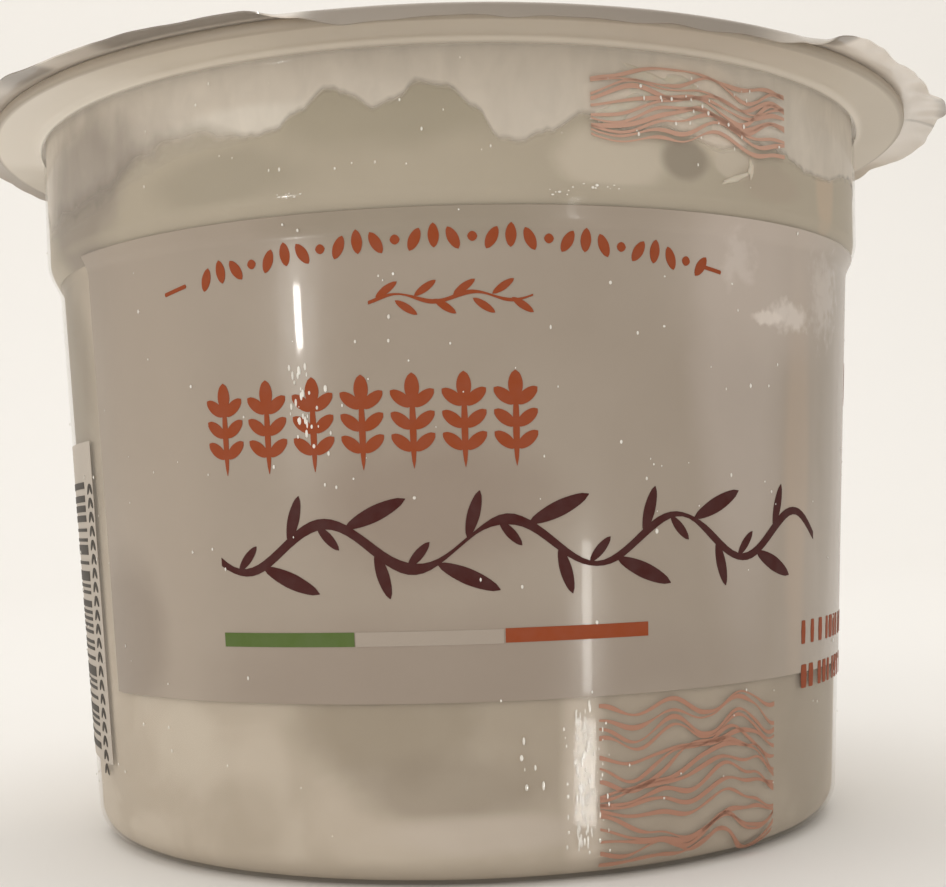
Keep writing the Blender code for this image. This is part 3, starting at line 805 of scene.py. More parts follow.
def makePrint():
    wrap = wrapTree()
    marks = marksTree(wrap, markTree())
    flow = flowTree(wrap)
    onLabel, onWall = printing["onLabel"], printing["onWall"]
    orange = printedInk("orangeInk", "#944522")
    maroon = printedInk("maroonInk", "#451a16")
    green = printedInk("greenInk", "#576b35")
    white = printedInk("whiteInk", "#aa9e92")
    coral = printedInk("coralInk", "#bd8d77", 0.85)
    paleCoral = printedInk("paleCoralInk", "#d0a793", 0.85)
    black = printedInk("blackInk", "#453f38")
    haze = printedInk("hazeInk", "#d6ccc0", 0.7)

    designs = {
        "garlandArch": (garlandMarks(), 1.7, onLabel, orange),
        "archDashes": ([(-24.9, 49.45, 2.6, 0.33, 11.5), (22.5, 49.8, 2.4, 0.33, -10.5)], 20.0, onLabel, orange),
        "tallSprigs": (tallSprigs(), 1.8, onLabel, orange),
        "vineLeaves": (vineLeaves(), 1.7, onLabel, maroon),
        "sprigLeaves": ([(-5.4 + 1.55 * i, 47.2 + 0.75 * (-1) ** i, 2.1, 0.62, 34.0 * (-1) ** i)
                         for i in range(8)], 1.7, onLabel, orange),
        "barGreen": ([(-15.4, 20.2, 12.4, 1.15, 0.0)], 60.0, onLabel, green),
        "barWhite": ([(-2.9, 20.2, 12.4, 1.15, 0.0)], 60.0, onLabel, white),
        "barOrange": ([(9.75, 20.25, 12.6, 1.15, 0.0)], 60.0, onLabel, orange),
        "weightRows": (weightRows(), 7.0, onLabel, orange),
        "codeField": ([(-51.3, 22.9, 19.4, 29.8, 0.0)], 60.0, onWall, haze),
        "codeBars": (codeBars(), 60.0, onWall + 0.04 * mm, black),
        "codeSeeds": (codeSeeds(), 1.8, onWall + 0.04 * mm, black),
        "sideRoundel": ([(54.6, 42.0, 4.4, 4.4, 0.0)], 2.0, onLabel, orange),
    }
    for name, (points, roundness, lift, ink) in designs.items():
        steps = 40 if roundness > 10.0 or name == "sideRoundel" else 12
        mesh = runTree(name, marks, {"Roundness": roundness, "Steps": steps, "Lift": lift, "Ink": ink},
                       markPoints(name + "Points", points))
        finishPiece(newObject(name, mesh))

    lines = {
        "flowPanelTop": dict(count=11, left=11.0, width=19.8, bottom=60.3, high=5.0, line=0.25, drift=1.35,
                             driftLength=6.0, seed=4, lift=onWall, ink=paleCoral),
        "flowPanelLow": dict(count=17, left=11.4, width=20.0, bottom=1.7, high=11.6, line=0.27, drift=1.45,
                             driftLength=5.6, seed=17, lift=onWall, ink=coral),
        "vineStem": dict(count=1, left=vine["left"], width=vine["right"] - vine["left"], bottom=vine["height"],
                         high=0.0, line=vine["line"], drift=0.0, driftLength=9.0, sway=vine["sway"],
                         seed=6, lift=onLabel, ink=maroon),
        "sprigStem": dict(count=1, left=-6.9, width=13.2, bottom=47.2, high=0.0, line=0.26, drift=0.0,
                          driftLength=5.0, sway=0.35, swayLength=6.2, seed=9, lift=onLabel, ink=orange),
    }
    for name, s in lines.items():
        mesh = runTree(name, flow, {
            "Count": s["count"], "Left": s["left"] * mm, "Width": s["width"] * mm, "Bottom": s["bottom"] * mm,
            "Panel Height": s["high"] * mm, "Line Height": s["line"] * mm, "Drift": s["drift"] * mm,
            "Drift Length": s["driftLength"] * mm, "Sway": s.get("sway", 0.0) * mm,
            "Sway Length": s.get("swayLength", vine["swayLength"]) * mm,
            "Seed": s["seed"], "Lift": s["lift"], "Ink": s["ink"]})
        finishPiece(newObject(name, mesh))


# the film lid: sealed flat on the flange, its cut edge bent down over the lip or standing out
film = {
    "thickness": 0.12 * mm, "gap": 0.04 * mm, "dish": 0.8 * mm, "segments": 720, "foldSteps": 14,
    "weldInner": 42.6 * mm, "weldOuter": 45.4 * mm, "weldGroove": 0.12 * mm,
    # by direction in degrees: how far the edge stands out (1) or bends down (0), its length
    # past the flange in mm, its droop in mm, its crumpling in mm and its painted shade, how much darker it is
    # painted
    "flare": [(-180, 0.3), (-150, 0.75), (-110, 0.45), (-75, 0.9), (-52, 1.0), (-19, 1.0), (-14, 0.6),
              (-9, 0.03), (34, 0.03), (38, 0.5), (42, 1.0), (75, 1.0), (96, 1.0), (104, 0.4), (125, 0.6),
              (150, 0.2), (180, 0.3)],
    "reach": [(-180, 1.6), (-150, 2.0), (-110, 1.4), (-75, 1.9), (-52, 2.5), (-44, 2.0), (-33, 2.0),
              (-16, 1.8), (-9, 1.5), (0, 1.2), (20, 1.35), (33, 1.2), (38, 1.5), (41, 2.2), (43.5, 2.8),
              (48, 2.8), (53, 2.4), (61, 2.6), (64.5, 2.8), (67.5, 3.75), (72.5, 3.9), (76, 3.2), (80, 3.0),
              (88, 3.15), (93, 3.0), (96.5, 2.4), (100, 1.3), (110, 1.4), (135, 1.8), (180, 1.6)],
    "droop": [(-180, 0.4), (-60, 0.2), (-52, 0.0), (62, 0.0), (67, 0.9), (95, 0.9), (100, 0.5), (180, 0.4)],
    "crumple": [(-180, 0.25), (-60, 0.15), (-50, 0.08), (36, 0.08), (44, 0.5), (76, 0.5), (80, 0.08),
                (97, 0.06), (110, 0.2), (180, 0.25)],
    "edgeShade": [(-180, 0.4), (-56, 0.3), (-50, 0.9), (-46, 0.8), (-44, 0.15), (-38, 0.3), (-34, 1.0), (-17.5, 1.0),
             (-16, 0.1), (-14.5, 0.1), (-12, 0.75), (30, 0.8), (37, 0.35), (40.5, 0.4), (41.5, 1.0),
             (43, 0.8), (44.5, 0.0), (77.4, 0.05), (78.2, 0.6), (79.0, 0.05), (100, 0.0), (120, 0.3), (180, 0.4)],
}


def peelFilm():
    # Peelable polyester and polyethylene film, heat sealed: pale and slightly milky, with a
    # gloss that catches on every crease; painted darker in stretches of its free edge (painted shade) and lighter
    # where it stands out past the flange (painted light)
    material, tree, shader = newMaterial("peelFilmSealed", {
        "Roughness": 0.28, "IOR": 1.5, "Coat Weight": 0.5, "Coat Roughness": 0.1})
    place = addNode(tree, "ShaderNodeTexCoord").outputs["Object"]
    # welded to the flange it turns milkier; over the mouth it is clearer
    parts = addNode(tree, "ShaderNodeSeparateXYZ", {}, {0: place})
    level = addNode(tree, "ShaderNodeCombineXYZ", {}, {0: parts.outputs[0], 1: parts.outputs[1]})
    reach = addNode(tree, "ShaderNodeVectorMath", {"operation": "LENGTH"}, {0: level.outputs[0]})
    weld = addNode(tree, "ShaderNodeMapRange", {}, {
        "Value": reach.outputs["Value"], "From Min": film["weldInner"] - 0.1 * mm,
        "From Max": film["weldInner"] + 0.2 * mm, "To Min": 0.5, "To Max": 0.8})
    tree.links.new(weld.outputs[0], shader.inputs["Alpha"])
    drift = addNode(tree, "ShaderNodeTexNoise", {}, {"Vector": place, "Scale": 1.0 / (7 * mm), "Detail": 3.0})
    tone = addNode(tree, "ShaderNodeMix", {"data_type": "RGBA"}, {
        0: drift.outputs[0], 6: linear("#cabdad"), 7: linear("#dcd2c6")})
    # painted light: the edge standing out past the flange is lighter, for light coming through the film
    free = addNode(tree, "ShaderNodeAttribute", {"attribute_name": "free"})
    tone = addNode(tree, "ShaderNodeMix", {"data_type": "RGBA"}, {
        0: free.outputs["Fac"], 6: tone.outputs[2], 7: linear("#f3eadf")})
    # painted shade: stretches of the free edge are painted darker
    paintedEdgeShade = addNode(tree, "ShaderNodeAttribute", {"attribute_name": "paintedEdgeShade"})
    shade = addNode(tree, "ShaderNodeMix", {"data_type": "RGBA"}, {
        0: paintedEdgeShade.outputs["Fac"], 6: tone.outputs[2], 7: linear("#8b8176")})
    tree.links.new(shade.outputs[2], shader.inputs["Base Color"])
    fine = addNode(tree, "ShaderNodeTexNoise", {}, {"Vector": place, "Scale": 1.0 / (1.6 * mm), "Detail": 3.0})
    bump = addNode(tree, "ShaderNodeBump", {}, {
        "Strength": 0.2, "Distance": 0.06 * mm, "Height": fine.outputs[0]})
    tree.links.new(bump.outputs[0], shader.inputs["Normal"])
    return material


def between(points, at):
    # smooth steps through (position, value) pairs in rising order
    for (a, low), (b, high) in zip(points, points[1:]):
        if a <= at <= b:
            return low + (high - low) * smoothStep(at, a, b)
    return points[-1][1]


def filmFlat(radius, angle):
    # the sealed ring lies on the flange and the middle sags a little
    sealed = sideRadius(tub["height"]) - tub["wall"]
    inner = min(1.0, radius / sealed)
    spot = Vector((radius * math.sin(angle), -radius * math.cos(angle), 0.0))
    free = smoothStep(sealed - radius, 0.0, 5 * mm)
    sag = film["dish"] * (1.0 - inner ** 2) + 0.5 * mm * free * noise.noise(spot / (14 * mm))
    sag += 0.25 * mm * free * abs(noise.noise(spot / (6 * mm)))
    # the weld leaves a fine raised line at each side of the ring
    ridge = sum(math.exp(-((radius - film[edge]) / (0.22 * mm)) ** 2) for edge in ("weldInner", "weldOuter"))
    return tub["height"] + film["gap"] - sag + film["weldGroove"] * ridge


def filmEdge(angle):
    # the free edge as (radius, height, painted shade) points, out from the flange
    degrees = math.degrees(angle)
    flare, reach, droop, crumple, edgeShade = (between(film[key], degrees) for key in (
        "flare", "reach", "droop", "crumple", "edgeShade"))
    ragged = (0.07 + 0.12 * (1.0 - flare)) * noise.noise(Vector((degrees / 4.0, 0.0, 4.0)))
    length = reach * mm * (1.0 + ragged)
    steps = film["foldSteps"]
    bend = math.radians(84.0) * (1.0 - flare)
    radius, height = tub["flangeRadius"], tub["height"] + film["gap"]
    ceiling = cadBox[1].z - film["thickness"] + 0.3 * mm
    points = []
    for i in range(1, steps + 1):
        out = i / steps
        slope = bend * min(1.0, out * 2.6)
        radius += math.cos(slope) * length / steps
        height -= math.sin(slope) * length / steps
        fold = noise.noise(Vector((degrees / 6.0 + 0.9 * out, out * 0.9, 1.7)))
        fold += 0.35 * noise.noise(Vector((degrees / 2.4 + 0.9 * out, out * 1.3, 5.1)))
        lift = crumple * mm * fold * out - droop * mm * out ** 2
        # painted shade: extra darkness at the tab's tip
        tipShade = 0.7 * smoothStep(out, 0.7, 1.0) * smoothStep(4.5 - abs(degrees - 71.0), 0.0, 1.5)
        points.append((radius, min(height + lift, ceiling), max(edgeShade * min(1.0, out * 4.0), tipShade)))
    return points


def makeFilmLid():
    flatRadii = [tub["flangeRadius"] * share for share in
                 [0.035 * i for i in range(26)] + [0.885 + 0.0046 * i for i in range(26)]]
    outline = [(radius, 0.0) for radius in flatRadii]
    outline += [(tub["flangeRadius"] + mm * i, 0.0) for i in range(1, film["foldSteps"] + 1)]
    mesh = turn("filmLid", outline, film["segments"])
    paintedEdgeTones, edges = [], {}
    for i, vertex in enumerate(mesh.vertices):
        angle = math.atan2(vertex.co.x, -vertex.co.y)
        radius = math.hypot(vertex.co.x, vertex.co.y)
        step = round((radius - tub["flangeRadius"]) / mm)
        height, fold = filmFlat(min(radius, tub["flangeRadius"]), angle), 0.0
        if step > 0:
            key = round(math.degrees(angle) * 10)
            if key not in edges:
                edges[key] = filmEdge(angle)
            radius, height, fold = edges[key][step - 1]
        vertex.co = (radius * math.sin(angle), -radius * math.cos(angle), height)
        # each point keeps its painted shade, and how far its edge stands free, for the painted light
        paintedEdgeTones.append((fold, min(1.0, max(0, step) / 3.0) * (1.0 - fold)))
    for k, name in enumerate(("paintedEdgeShade", "free")):
        values = mesh.attributes.new(name, "FLOAT", "POINT")
        values.data.foreach_set("value", [fold[k] for fold in paintedEdgeTones])
    sheet = newObject("filmLidSheet", mesh)
    solid = sheet.modifiers.new("thickness", "SOLIDIFY")
    solid.thickness = film["thickness"]
    solid.offset = 1.0
    mesh = plainMesh(sheet, "filmLid")
    return finishPiece(newObject("filmLid", mesh, peelFilm()), ["film_lid"])


# what clings to the inside of the collar: a skin of whey, fog over it, cream and curd
fog = {
    "skinLow": 53.6 * mm, "high": 67.95 * mm, "thickness": 0.05 * mm, "skinLift": -0.34 * mm,
    "fogLift": -0.28 * mm,
    # lower edge: direction in degrees, height in mm
    "edge": [(-180, 59.5), (-150, 61.5), (-120, 58.6), (-90, 60.5), (-62, 57.0), (-50, 57.4), (-40, 59.2),
             (-32, 60.4), (-24, 60.5), (-20, 60.9), (-16.5, 62.4), (-13.5, 63.7), (-11, 63.2), (-8.4, 61.9),
             (-6, 62.6), (-3.5, 63.8), (0, 63.4), (3, 61.6), (5.5, 59.3), (8, 59.0), (11, 59.9),
             (15, 61.2), (20, 60.2), (26, 60.8), (33, 59.4), (40, 60.5), (52, 59.0), (70, 60.9), (90, 59.0),
             (120, 61.4), (150, 58.8), (180, 59.5)],
}


def fogEdge(degrees):
    fine = 0.3 * noise.noise(Vector((degrees * 0.5, 2.0, 0.0))) + 0.15 * noise.noise(
        Vector((degrees * 1.7, 5.0, 0.0)))
    return (between(fog["edge"], degrees) + fine * smoothStep(180.0 - abs(degrees), 0.0, 5.0)) * mm


def wheySkin():
    # A thin skin of whey on the inside of the wall above the level: grey-green and wet. Over the
    # open headspace it is painted darker, painted shade for the unlit space behind it, and it is paler where cream
    # has dried
    material, tree, shader = newMaterial("wheySkin", {"Roughness": 0.5, "Specular IOR Level": 0.1})
    place = addNode(tree, "ShaderNodeTexCoord").outputs["Object"]
    drift = addNode(tree, "ShaderNodeTexNoise", {}, {"Vector": place, "Scale": 1.0 / (8 * mm), "Detail": 3.0})
    tone = addNode(tree, "ShaderNodeMix", {"data_type": "RGBA"}, {
        0: drift.outputs[0], 6: linear("#b9af9c"), 7: linear("#c9bfac")})
    shade = paintPatches(tree, tone.outputs[2], [
        # painted shade: the open headspace seen through the clear skin
        (-7.5, 15.0, 62.6, 3.4, "#aea691", 0.85, 0.8),
        (-27.0, 10.0, 57.8, 2.2, "#aaa28f", 0.7, 0.8),
        (34.0, 5.0, 61.0, 2.4, "#ebdfcc", 0.7, 0.8),
        (-56.0, 13.0, 60.5, 8.0, "#938980", 0.8, 0.6),
        (18.5, 7.0, 58.2, 2.5, "#e0d6c5", 0.8, 0.5),
        (28.0, 3.4, 58.5, 1.7, "#8e8475", 0.75, 0.5),
        (35.5, 3.4, 58.6, 1.3, "#ddd3c3", 0.8, 0.3),
        (42.0, 6.0, 57.6, 1.6, "#bcae9c", 0.7, 0.5),
        (55.5, 3.0, 58.8, 4.4, "#d6c1a8", 0.7, 0.55),
        (0.0, 60.0, 55.3, 0.8, "#c0b6a4", 0.5, 0.6),
    ], 5 * mm)
    tree.links.new(shade, shader.inputs["Base Color"])
    return material


def condensation():
    # Fog of fine droplets with runs in it, and a breath of cream, on the inside of the wall
    material, tree, shader = newMaterial("condensationFog", {"Roughness": 0.6, "Specular IOR Level": 0.2})
    place = addNode(tree, "ShaderNodeTexCoord").outputs["Object"]
    large = addNode(tree, "ShaderNodeTexNoise", {}, {"Vector": place, "Scale": 1.0 / (9 * mm), "Detail": 3.0})
    tone = addNode(tree, "ShaderNodeMix", {"data_type": "RGBA"}, {
        0: large.outputs[0], 6: linear("#e3dacd"), 7: linear("#f3ece1")})
    shade = paintPatches(tree, tone.outputs[2], [
        (-24.0, 9.0, 62.3, 1.2, "#fbf6ec", 0.8, 0.8),
        (-52.0, 14.0, 61.0, 5.0, "#9f958c", 0.8, 0.9),
        (29.0, 11.0, 62.8, 3.6, "#fff2e2", 0.85, 0.7),
    ], 4 * mm)
    tree.links.new(shade, shader.inputs["Base Color"])
    runs = addNode(tree, "ShaderNodeMapping", {}, {"Vector": place, "Scale": (1.0, 1.0, 0.5)})
    drops = addNode(tree, "ShaderNodeTexNoise", {}, {
        "Vector": runs.outputs[0], "Scale": 1.0 / (2.2 * mm), "Detail": 3.0, "Distortion": 0.6})
    cover = addNode(tree, "ShaderNodeMapRange", {}, {
        "Value": drops.outputs[0], "From Min": 0.3, "From Max": 0.7, "To Min": 0.86, "To Max": 1.0})
    fade = addNode(tree, "ShaderNodeAttribute", {"attribute_name": "fade"})
    torn = addNode(tree, "ShaderNodeTexNoise", {}, {"Vector": place, "Scale": 1.0 / (3.5 * mm), "Detail": 4.0})
    torn = addNode(tree, "ShaderNodeMath", {"operation": "MULTIPLY_ADD"}, {
        0: torn.outputs[0], 1: 0.8, 2: fade.outputs["Fac"]})
    torn = addNode(tree, "ShaderNodeMapRange", {"interpolation_type": "SMOOTHSTEP"}, {
        "Value": torn.outputs[0], "From Min": 0.42, "From Max": 1.3})
    cover = addNode(tree, "ShaderNodeMath", {"operation": "MULTIPLY"}, {0: cover.outputs[0], 1: torn.outputs[0]})
    tree.links.new(cover.outputs[0], shader.inputs["Alpha"])
    return material


def freshCream():
    # Cream and shreds of curd stuck to the wall: matt, warm white, a little translucent
    material, tree, shader = newMaterial("freshCream", {
        "Roughness": 0.45, "IOR": 1.4, "Subsurface Weight": 0.15, "Subsurface Scale": 0.8 * mm})
    place = addNode(tree, "ShaderNodeTexCoord").outputs["Object"]
    grain = addNode(tree, "ShaderNodeTexNoise", {}, {"Vector": place, "Scale": 1.0 / (1.5 * mm), "Detail": 3.0})
    tone = addNode(tree, "ShaderNodeMix", {"data_type": "RGBA"}, {
        0: grain.outputs[0], 6: linear("#e3d3bf"), 7: linear("#f6ebdc")})
    tree.links.new(tone.outputs[2], shader.inputs["Base Color"])
    return material


def smearRing(s, rings, sides):
    # rows of (angle, height, bulge) from a smear's middle to its ragged edge
    rows = []
    for i in range(rings + 1):
        share = i / rings
        row = []
        for k in range(sides):
            turn = math.tau * k / sides
            rim = Vector((math.cos(turn) * 1.4, math.sin(turn) * 1.4, s["seed"]))
            ragged = 1.0 + s["ragged"] * (noise.noise(rim) + 0.5 * noise.noise(rim * 3.1))
            across = s["wide"] * share * ragged * math.cos(turn)
            up = s["tall"] * share * ragged * math.sin(turn) + s["lean"] * across
            lump = 1.0 + 0.5 * noise.noise(Vector((across, up, s["seed"])) * 0.9)
            row.append((across, up, s["thick"] * lump * (1.0 - share ** 4) ** 0.5))
        rows.append(row)
    return rows


def makeSmears():
    # middle (direction, height), half width and half height, lean, thickness: all in mm or degrees
    smears = [
        dict(direction=26.5, high=63.9, wide=5.4, tall=1.5, lean=-0.22, thick=0.3, ragged=0.55, seed=3.0),
        dict(direction=19.5, high=62.2, wide=2.2, tall=1.0, lean=0.5, thick=0.2, ragged=0.5, seed=7.0),
        dict(direction=35.4, high=57.5, wide=1.5, tall=0.26, lean=0.35, thick=0.3, ragged=0.45, seed=12.0),
        dict(direction=38.0, high=58.5, wide=0.3, tall=0.7, lean=0.0, thick=0.3, ragged=0.45, seed=15.0),
        dict(direction=-118.0, high=60.0, wide=3.4, tall=1.3, lean=0.2, thick=0.3, ragged=0.5, seed=19.0),
        dict(direction=142.0, high=58.2, wide=2.4, tall=1.7, lean=-0.3, thick=0.3, ragged=0.5, seed=23.0),
    ]
    work = bmesh.new()
    for s in smears:
        rows = smearRing(s, 7, 48)
        base = fog["fogLift"] + fog["thickness"] + 0.01 * mm
        layers = []
        for outer in (True, False):
            layer = []
            for row in rows[1:]:
                ring = []
                for across, up, bulge in row:
                    z = (s["high"] + up) * mm
                    radius = wallRadius(z) + base + (bulge * 0.35 * mm if outer else -0.02 * mm)
                    angle = math.radians(s["direction"]) + across * mm / radius
                    ring.append(work.verts.new((radius * math.sin(angle), -radius * math.cos(angle), z)))
                layer.append(ring)
            centre = work.verts.new(sum((v.co for v in layer[0]), Vector()) / len(layer[0]))
            layers.append((centre, layer))
        for centre, layer in layers:
            for k in range(len(layer[0])):
                n = (k + 1) % len(layer[0])
                work.faces.new((centre, layer[0][k], layer[0][n]))
                for a, b in zip(layer, layer[1:]):
                    work.faces.new((a[k], b[k], b[n], a[n]))
        (_, outerRings), (_, innerRings) = layers
        for k in range(len(outerRings[-1])):
            n = (k + 1) % len(outerRings[-1])
            work.faces.new((outerRings[-1][k], innerRings[-1][k], innerRings[-1][n], outerRings[-1][n]))
    bmesh.ops.recalc_face_normals(work, faces=work.faces)
    mesh = bpy.data.meshes.new("creamSmears")
    work.to_mesh(mesh)
    work.free()
    finishPiece(newObject("creamSmears", mesh, freshCream()))


def makeCollarInside():
    skin = wallPatch("wheySkin", -180.0, 180.0, fog["skinLow"], fog["high"], fog["skinLift"], fog["thickness"])
    finishPiece(newObject("wheySkin", skin, wheySkin()))
    mist = wallPatch("collarFog", -180.0, 180.0, fog["skinLow"], fog["high"], fog["fogLift"],
                     fog["thickness"], fogEdge)
    # the fog thins out towards its lower edge, over a wider band at the left
    fade = mist.attributes.new("fade", "FLOAT", "POINT")
    for i, vertex in enumerate(mist.vertices):
        degrees = math.degrees(math.atan2(vertex.co.x, -vertex.co.y))
        band = 0.9 + 3.0 * smoothStep(-22.0 - degrees, 0.0, 10.0)
        fade.data[i].value = (vertex.co.z - fogEdge(degrees)) / (band * mm)
    finishPiece(newObject("collarFog", mist, condensation()))
    makeSmears()


# dew: tiny drops on the outside, coloured near white as painted glints, and thickest where the glints are painted:
# beside the gloss streaks and along the shoulder
dew = {
    "seed": 4, "lift": -0.02 * mm, "smallest": 0.5, "largest": 1.6,
    # direction and half width in degrees, low and high in mm, drops per square millimetre,
    # how large they are and how far they have run down
    "zones": [(-18.6, 1.5, 36.0, 42.5, 1.6, 0.9, 1.9), (-16.5, 3.5, 35.0, 41.5, 0.3, 0.9, 1.5), (-8.0, 6.0, 38.0, 50.0, 0.14, 0.9, 1.0),
              (14.2, 1.0, 3.0, 14.5, 6.0, 0.8, 2.4), (14.8, 3.0, 2.5, 13.5, 1.2, 0.7, 1.6),
              (-18.2, 1.6, 55.5, 55.9, 8.0, 1.1, 0.5), (12.2, 1.4, 55.0, 55.4, 7.0, 1.0, 0.5),
              (16.0, 3.0, 55.5, 55.9, 4.0, 1.0, 0.6), (7.8, 1.8, 8.0, 12.0, 0.7, 1.0, 1.8), (20.0, 5.0, 28.0, 36.0, 0.15, 0.9, 1.0),
              (0.0, 48.0, 56.5, 66.0, 0.06, 0.65, 1.2), (30.0, 9.0, 60.0, 65.0, 0.3, 1.0, 1.2),
              (0.0, 60.0, 4.0, 54.0, 0.02, 0.8, 1.0), (180.0, 120.0, 4.0, 66.0, 0.015, 0.9, 1.0)],
}


def dewTree():
    # drops scattered on the faces by the faces' own wetness, each a low dome leaning a little
    tree, start, end = newTree("dewDrops", {
        "Drop Size": ("Float", 0.0002), "Smallest": ("Float", 0.5), "Largest": ("Float", 1.6),
        "Seed": ("Int", 1), "Water": ("Material", None)})
    wet = addNode(tree, "GeometryNodeInputNamedAttribute", {"data_type": "FLOAT"}, {"Name": "wetness"})
    scatter = addNode(tree, "GeometryNodeDistributePointsOnFaces", {}, {
        "Mesh": start.outputs["Geometry"], "Density": wet.outputs[0], "Seed": start.outputs["Seed"]})
    ball = addNode(tree, "GeometryNodeMeshUVSphere", {}, {"Segments": 8, "Rings": 6, "Radius": start.outputs["Drop Size"]})
    smooth = addNode(tree, "GeometryNodeSetShadeSmooth", {}, {"Geometry": ball.outputs["Mesh"]})
    grow = addNode(tree, "FunctionNodeRandomValue", {"data_type": "FLOAT"}, {
        2: start.outputs["Smallest"], 3: start.outputs["Largest"], "Seed": start.outputs["Seed"]})
    stretch = addNode(tree, "FunctionNodeRandomValue", {"data_type": "FLOAT_VECTOR"}, {
        0: (0.6, 0.8, 0.3), 1: (1.0, 1.4, 0.5), "Seed": start.outputs["Seed"]})
    zone = addNode(tree, "GeometryNodeInputNamedAttribute", {"data_type": "FLOAT"}, {"Name": "dropScale"})
    grow = addNode(tree, "ShaderNodeMath", {"operation": "MULTIPLY"}, {0: grow.outputs[1], 1: zone.outputs[0]})
    run = addNode(tree, "GeometryNodeInputNamedAttribute", {"data_type": "FLOAT"}, {"Name": "dropRun"})
    longer = addNode(tree, "ShaderNodeCombineXYZ", {}, {0: 1.0, 1: run.outputs[0], 2: 1.0})
    longer = addNode(tree, "ShaderNodeVectorMath", {"operation": "MULTIPLY"}, {
        0: stretch.outputs[0], 1: longer.outputs[0]})
    scale = addNode(tree, "ShaderNodeVectorMath", {"operation": "SCALE"}, {
        0: longer.outputs[0], "Scale": grow.outputs[0]})
    put = addNode(tree, "GeometryNodeInstanceOnPoints", {}, {
        "Points": scatter.outputs["Points"], "Instance": smooth.outputs[0],
        "Rotation": scatter.outputs["Rotation"], "Scale": scale.outputs[0]})
    real = addNode(tree, "GeometryNodeRealizeInstances", {}, {0: put.outputs[0]})
    finished = addNode(tree, "GeometryNodeSetMaterial", {}, {
        "Geometry": real.outputs[0], "Material": start.outputs["Water"]})
    tree.links.new(finished.outputs[0], end.inputs[0])
    return tree


def dewWaterPaintedGlints():
    # Water in fine drops on plastic, glossy, coloured near white as a painted glint so that it shows bright against
    # the dull wall
    material, tree, shader = newMaterial("dewWaterPaintedGlints", {
        "Roughness": 0.12, "IOR": 1.33, "Coat Weight": 1.0, "Coat Roughness": 0.03})
    place = addNode(tree, "ShaderNodeTexCoord").outputs["Object"]
    vary = addNode(tree, "ShaderNodeTexNoise", {}, {"Vector": place, "Scale": 1.0 / (1.1 * mm), "Detail": 1.0})
    tone = addNode(tree, "ShaderNodeMix", {"data_type": "RGBA"}, {
        0: vary.outputs[0], 6: linear("#c9c0b2"), 7: linear("#fffdf8")})
    tree.links.new(tone.outputs[2], shader.inputs["Base Color"])
    return material


def makeDew():
    work = bmesh.new()
    wetness = work.faces.layers.float.new("wetness")
    dropScale = work.faces.layers.float.new("dropScale")
    dropRun = work.faces.layers.float.new("dropRun")
    for middle, half, low, high, density, size, run in dew["zones"]:
        columns, rows = max(2, int(half)), max(2, int((high - low) / 2.0))
        grid = []
        for i in range(columns + 1):
            angle = math.radians(middle - half + 2.0 * half * i / columns)
            column = []
            for k in range(rows + 1):
                z = (low + (high - low) * k / rows) * mm
                radius = wallRadius(z) + dew["lift"] + printing["onLabel"] + printing["inkThickness"]
                column.append(work.verts.new((radius * math.sin(angle), -radius * math.cos(angle), z)))
            grid.append(column)
        for a, b in zip(grid, grid[1:]):
            for k in range(rows):
                face = work.faces.new((a[k], b[k], b[k + 1], a[k + 1]))
                face[wetness] = density / mm ** 2
                face[dropScale] = size
                face[dropRun] = run
    mesh = bpy.data.meshes.new("dewZones")
    work.to_mesh(mesh)
    work.free()
    drops = runTree("dewDrops", dewTree(), {
        "Drop Size": 0.12 * mm, "Smallest": dew["smallest"], "Largest": dew["largest"], "Seed": dew["seed"],
        "Water": dewWaterPaintedGlints()}, mesh)
    finishPiece(newObject("dewDrops", drops))


# floor, backdrop, lights and camera

camera = {
    "distance": 156.9 * mm, "height": 29.39 * mm, "pitch": 0.0522, "yaw": 0.0098, "roll": -0.0294,
    "lens": 56.53, "sensor": 36.0,
}


def makeCamera():
    c = camera
    ahead = Vector((math.sin(c["yaw"]) * math.cos(c["pitch"]), math.cos(c["yaw"]) * math.cos(c["pitch"]),
                    math.sin(c["pitch"])))
    right = Vector((math.cos(c["yaw"]), -math.sin(c["yaw"]), 0.0))
    up = right.cross(ahead)
    tiltedRight = math.cos(c["roll"]) * right + math.sin(c["roll"]) * up
    tiltedUp = -math.sin(c["roll"]) * right + math.cos(c["roll"]) * up
    data = bpy.data.cameras.new("camera")
    data.lens = c["lens"]
    data.sensor_width = c["sensor"]
    data.clip_start = 0.005
    eye = bpy.data.objects.new("camera", data)
    scene.collection.objects.link(eye)
    turned = Matrix((tiltedRight, tiltedUp, -ahead)).transposed().to_4x4()
    eye.matrix_world = Matrix.Translation((0.0, -c["distance"], c["height"])) @ turned
    scene.camera = eye


def makeStage():
    material, tree, shader = newMaterial("paleStudioCard", {"Roughness": 0.9, "Specular IOR Level": 0.0})
    shader.inputs["Base Color"].default_value = linear("#f4f2ef")
    # a floor that turns up into a backdrop behind the tub
    outline = [(-1.6, 0.0), (0.55, 0.0)]
    outline += [(0.55 + 0.35 * math.sin(math.radians(a)), 0.35 - 0.35 * math.cos(math.radians(a)))
                for a in range(10, 91, 10)]
    outline.append((0.9, 1.6))
    work = bmesh.new()
    rows = [[work.verts.new((x, y, z)) for x in (-2.0, 2.0)] for y, z in outline]
    for a, b in zip(rows, rows[1:]):
        work.faces.new((a[0], a[1], b[1], b[0]))
    mesh = bpy.data.meshes.new("studioFloor")
    work.to_mesh(mesh)
    work.free()
    floor = newObject("studioFloor", mesh, material)
    floor.data.shade_smooth()


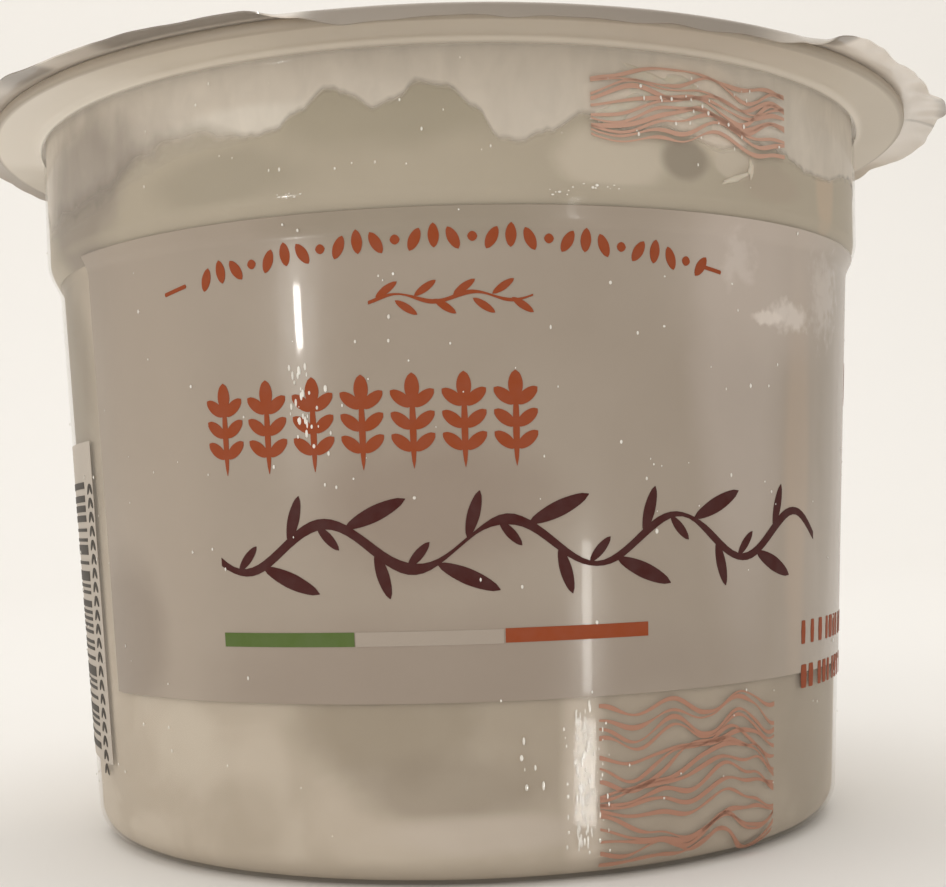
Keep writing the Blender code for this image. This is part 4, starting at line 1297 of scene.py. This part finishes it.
def addLight(name, spot, aim, width, height, power, colour):
    data = bpy.data.lights.new(name, "AREA")
    data.shape = "RECTANGLE"
    data.size = width
    data.size_y = height
    data.energy = power
    data.color = linear(colour)[:3]
    lamp = bpy.data.objects.new(name, data)
    scene.collection.objects.link(lamp)
    lamp.location = spot
    lamp.rotation_euler = (Vector(aim) - Vector(spot)).to_track_quat("-Z", "Y").to_euler()
    return lamp


def streakSpot(degrees, z, away):
    # where a lamp stands so that the camera sees it mirrored at that spot of the wall
    angle = math.radians(degrees)
    radius = wallRadius(z)
    spot = Vector((radius * math.sin(angle), -radius * math.cos(angle), z))
    tilt = math.atan2(tub["bodyTopRadius"] - tub["baseRadius"], tub["shoulderLow"])
    normal = Vector((math.sin(angle) * math.cos(tilt), -math.cos(angle) * math.cos(tilt), -math.sin(tilt)))
    toEye = (Vector((0.0, -camera["distance"], camera["height"])) - spot).normalized()
    mirrored = 2.0 * normal.dot(toEye) * normal - toEye
    return spot + mirrored * away, spot


def makeLights():
    # large soft boxes give the even light; only the slit lamps show, as streaks in the gloss
    for name, spot, width, tall, power, colour in (
            ("boxFront", (-0.5, -1.5, 0.7), 1.6, 1.2, 7.0, "#fffaf3"),
            ("boxRight", (1.2, -0.6, 0.6), 1.0, 1.0, 0.8, "#fff8f0"),
            ("boxLeft", (-1.2, -0.5, 0.5), 1.0, 1.0, 2.2, "#fff8f0"),
            ("boxTop", (0.0, 0.2, 1.3), 1.4, 1.4, 7.0, "#fffcf8"),
            ("boxBack", (-0.3, 1.3, 0.8), 1.0, 0.8, 2.5, "#fff8f0")):
        box = addLight(name, spot, (0, 0, 0.035), width, tall, power, colour)
        box.visible_glossy = False
    for name, degrees, z, away, width, tall, power in (
            ("slitLeft", -18.4, 46.2, 0.6, 0.02, 0.03, 0.055),
            ("slitRight", 14.9, 21.5, 0.06, 0.0035, 0.018, 0.0009),
            ("slitFoot", 14.5, 9.0, 0.012, 0.0028, 0.009, 0.0004)):
        spot, aim = streakSpot(degrees, z * mm, away)
        slit = addLight(name, spot, aim, width, tall, power, "#fffdf8")
        slit.visible_diffuse = False
        slit.visible_camera = False
        slit.visible_transmission = False
        slit.data.spread = math.radians(70.0)
    world = bpy.data.worlds.new("studioAir")
    scene.world = world
    world.use_nodes = True
    world.node_tree.nodes["Background"].inputs[0].default_value = linear("#f7f5f1")
    world.node_tree.nodes["Background"].inputs[1].default_value = 0.6


makeCamera()
print("camera set")
makeStage()
makeLights()
print("stage and lights set")
makeTub()
print("tub wall turned")
makeWhey()
makeBurrata()
makeCollarInside()
print("contents made")
makeLabel()
makePrint()
print("label and print wrapped")
makeFilmLid()
print("film lid creased")
makeDew()
print("dew scattered")

scene.view_settings.view_transform = "Standard"
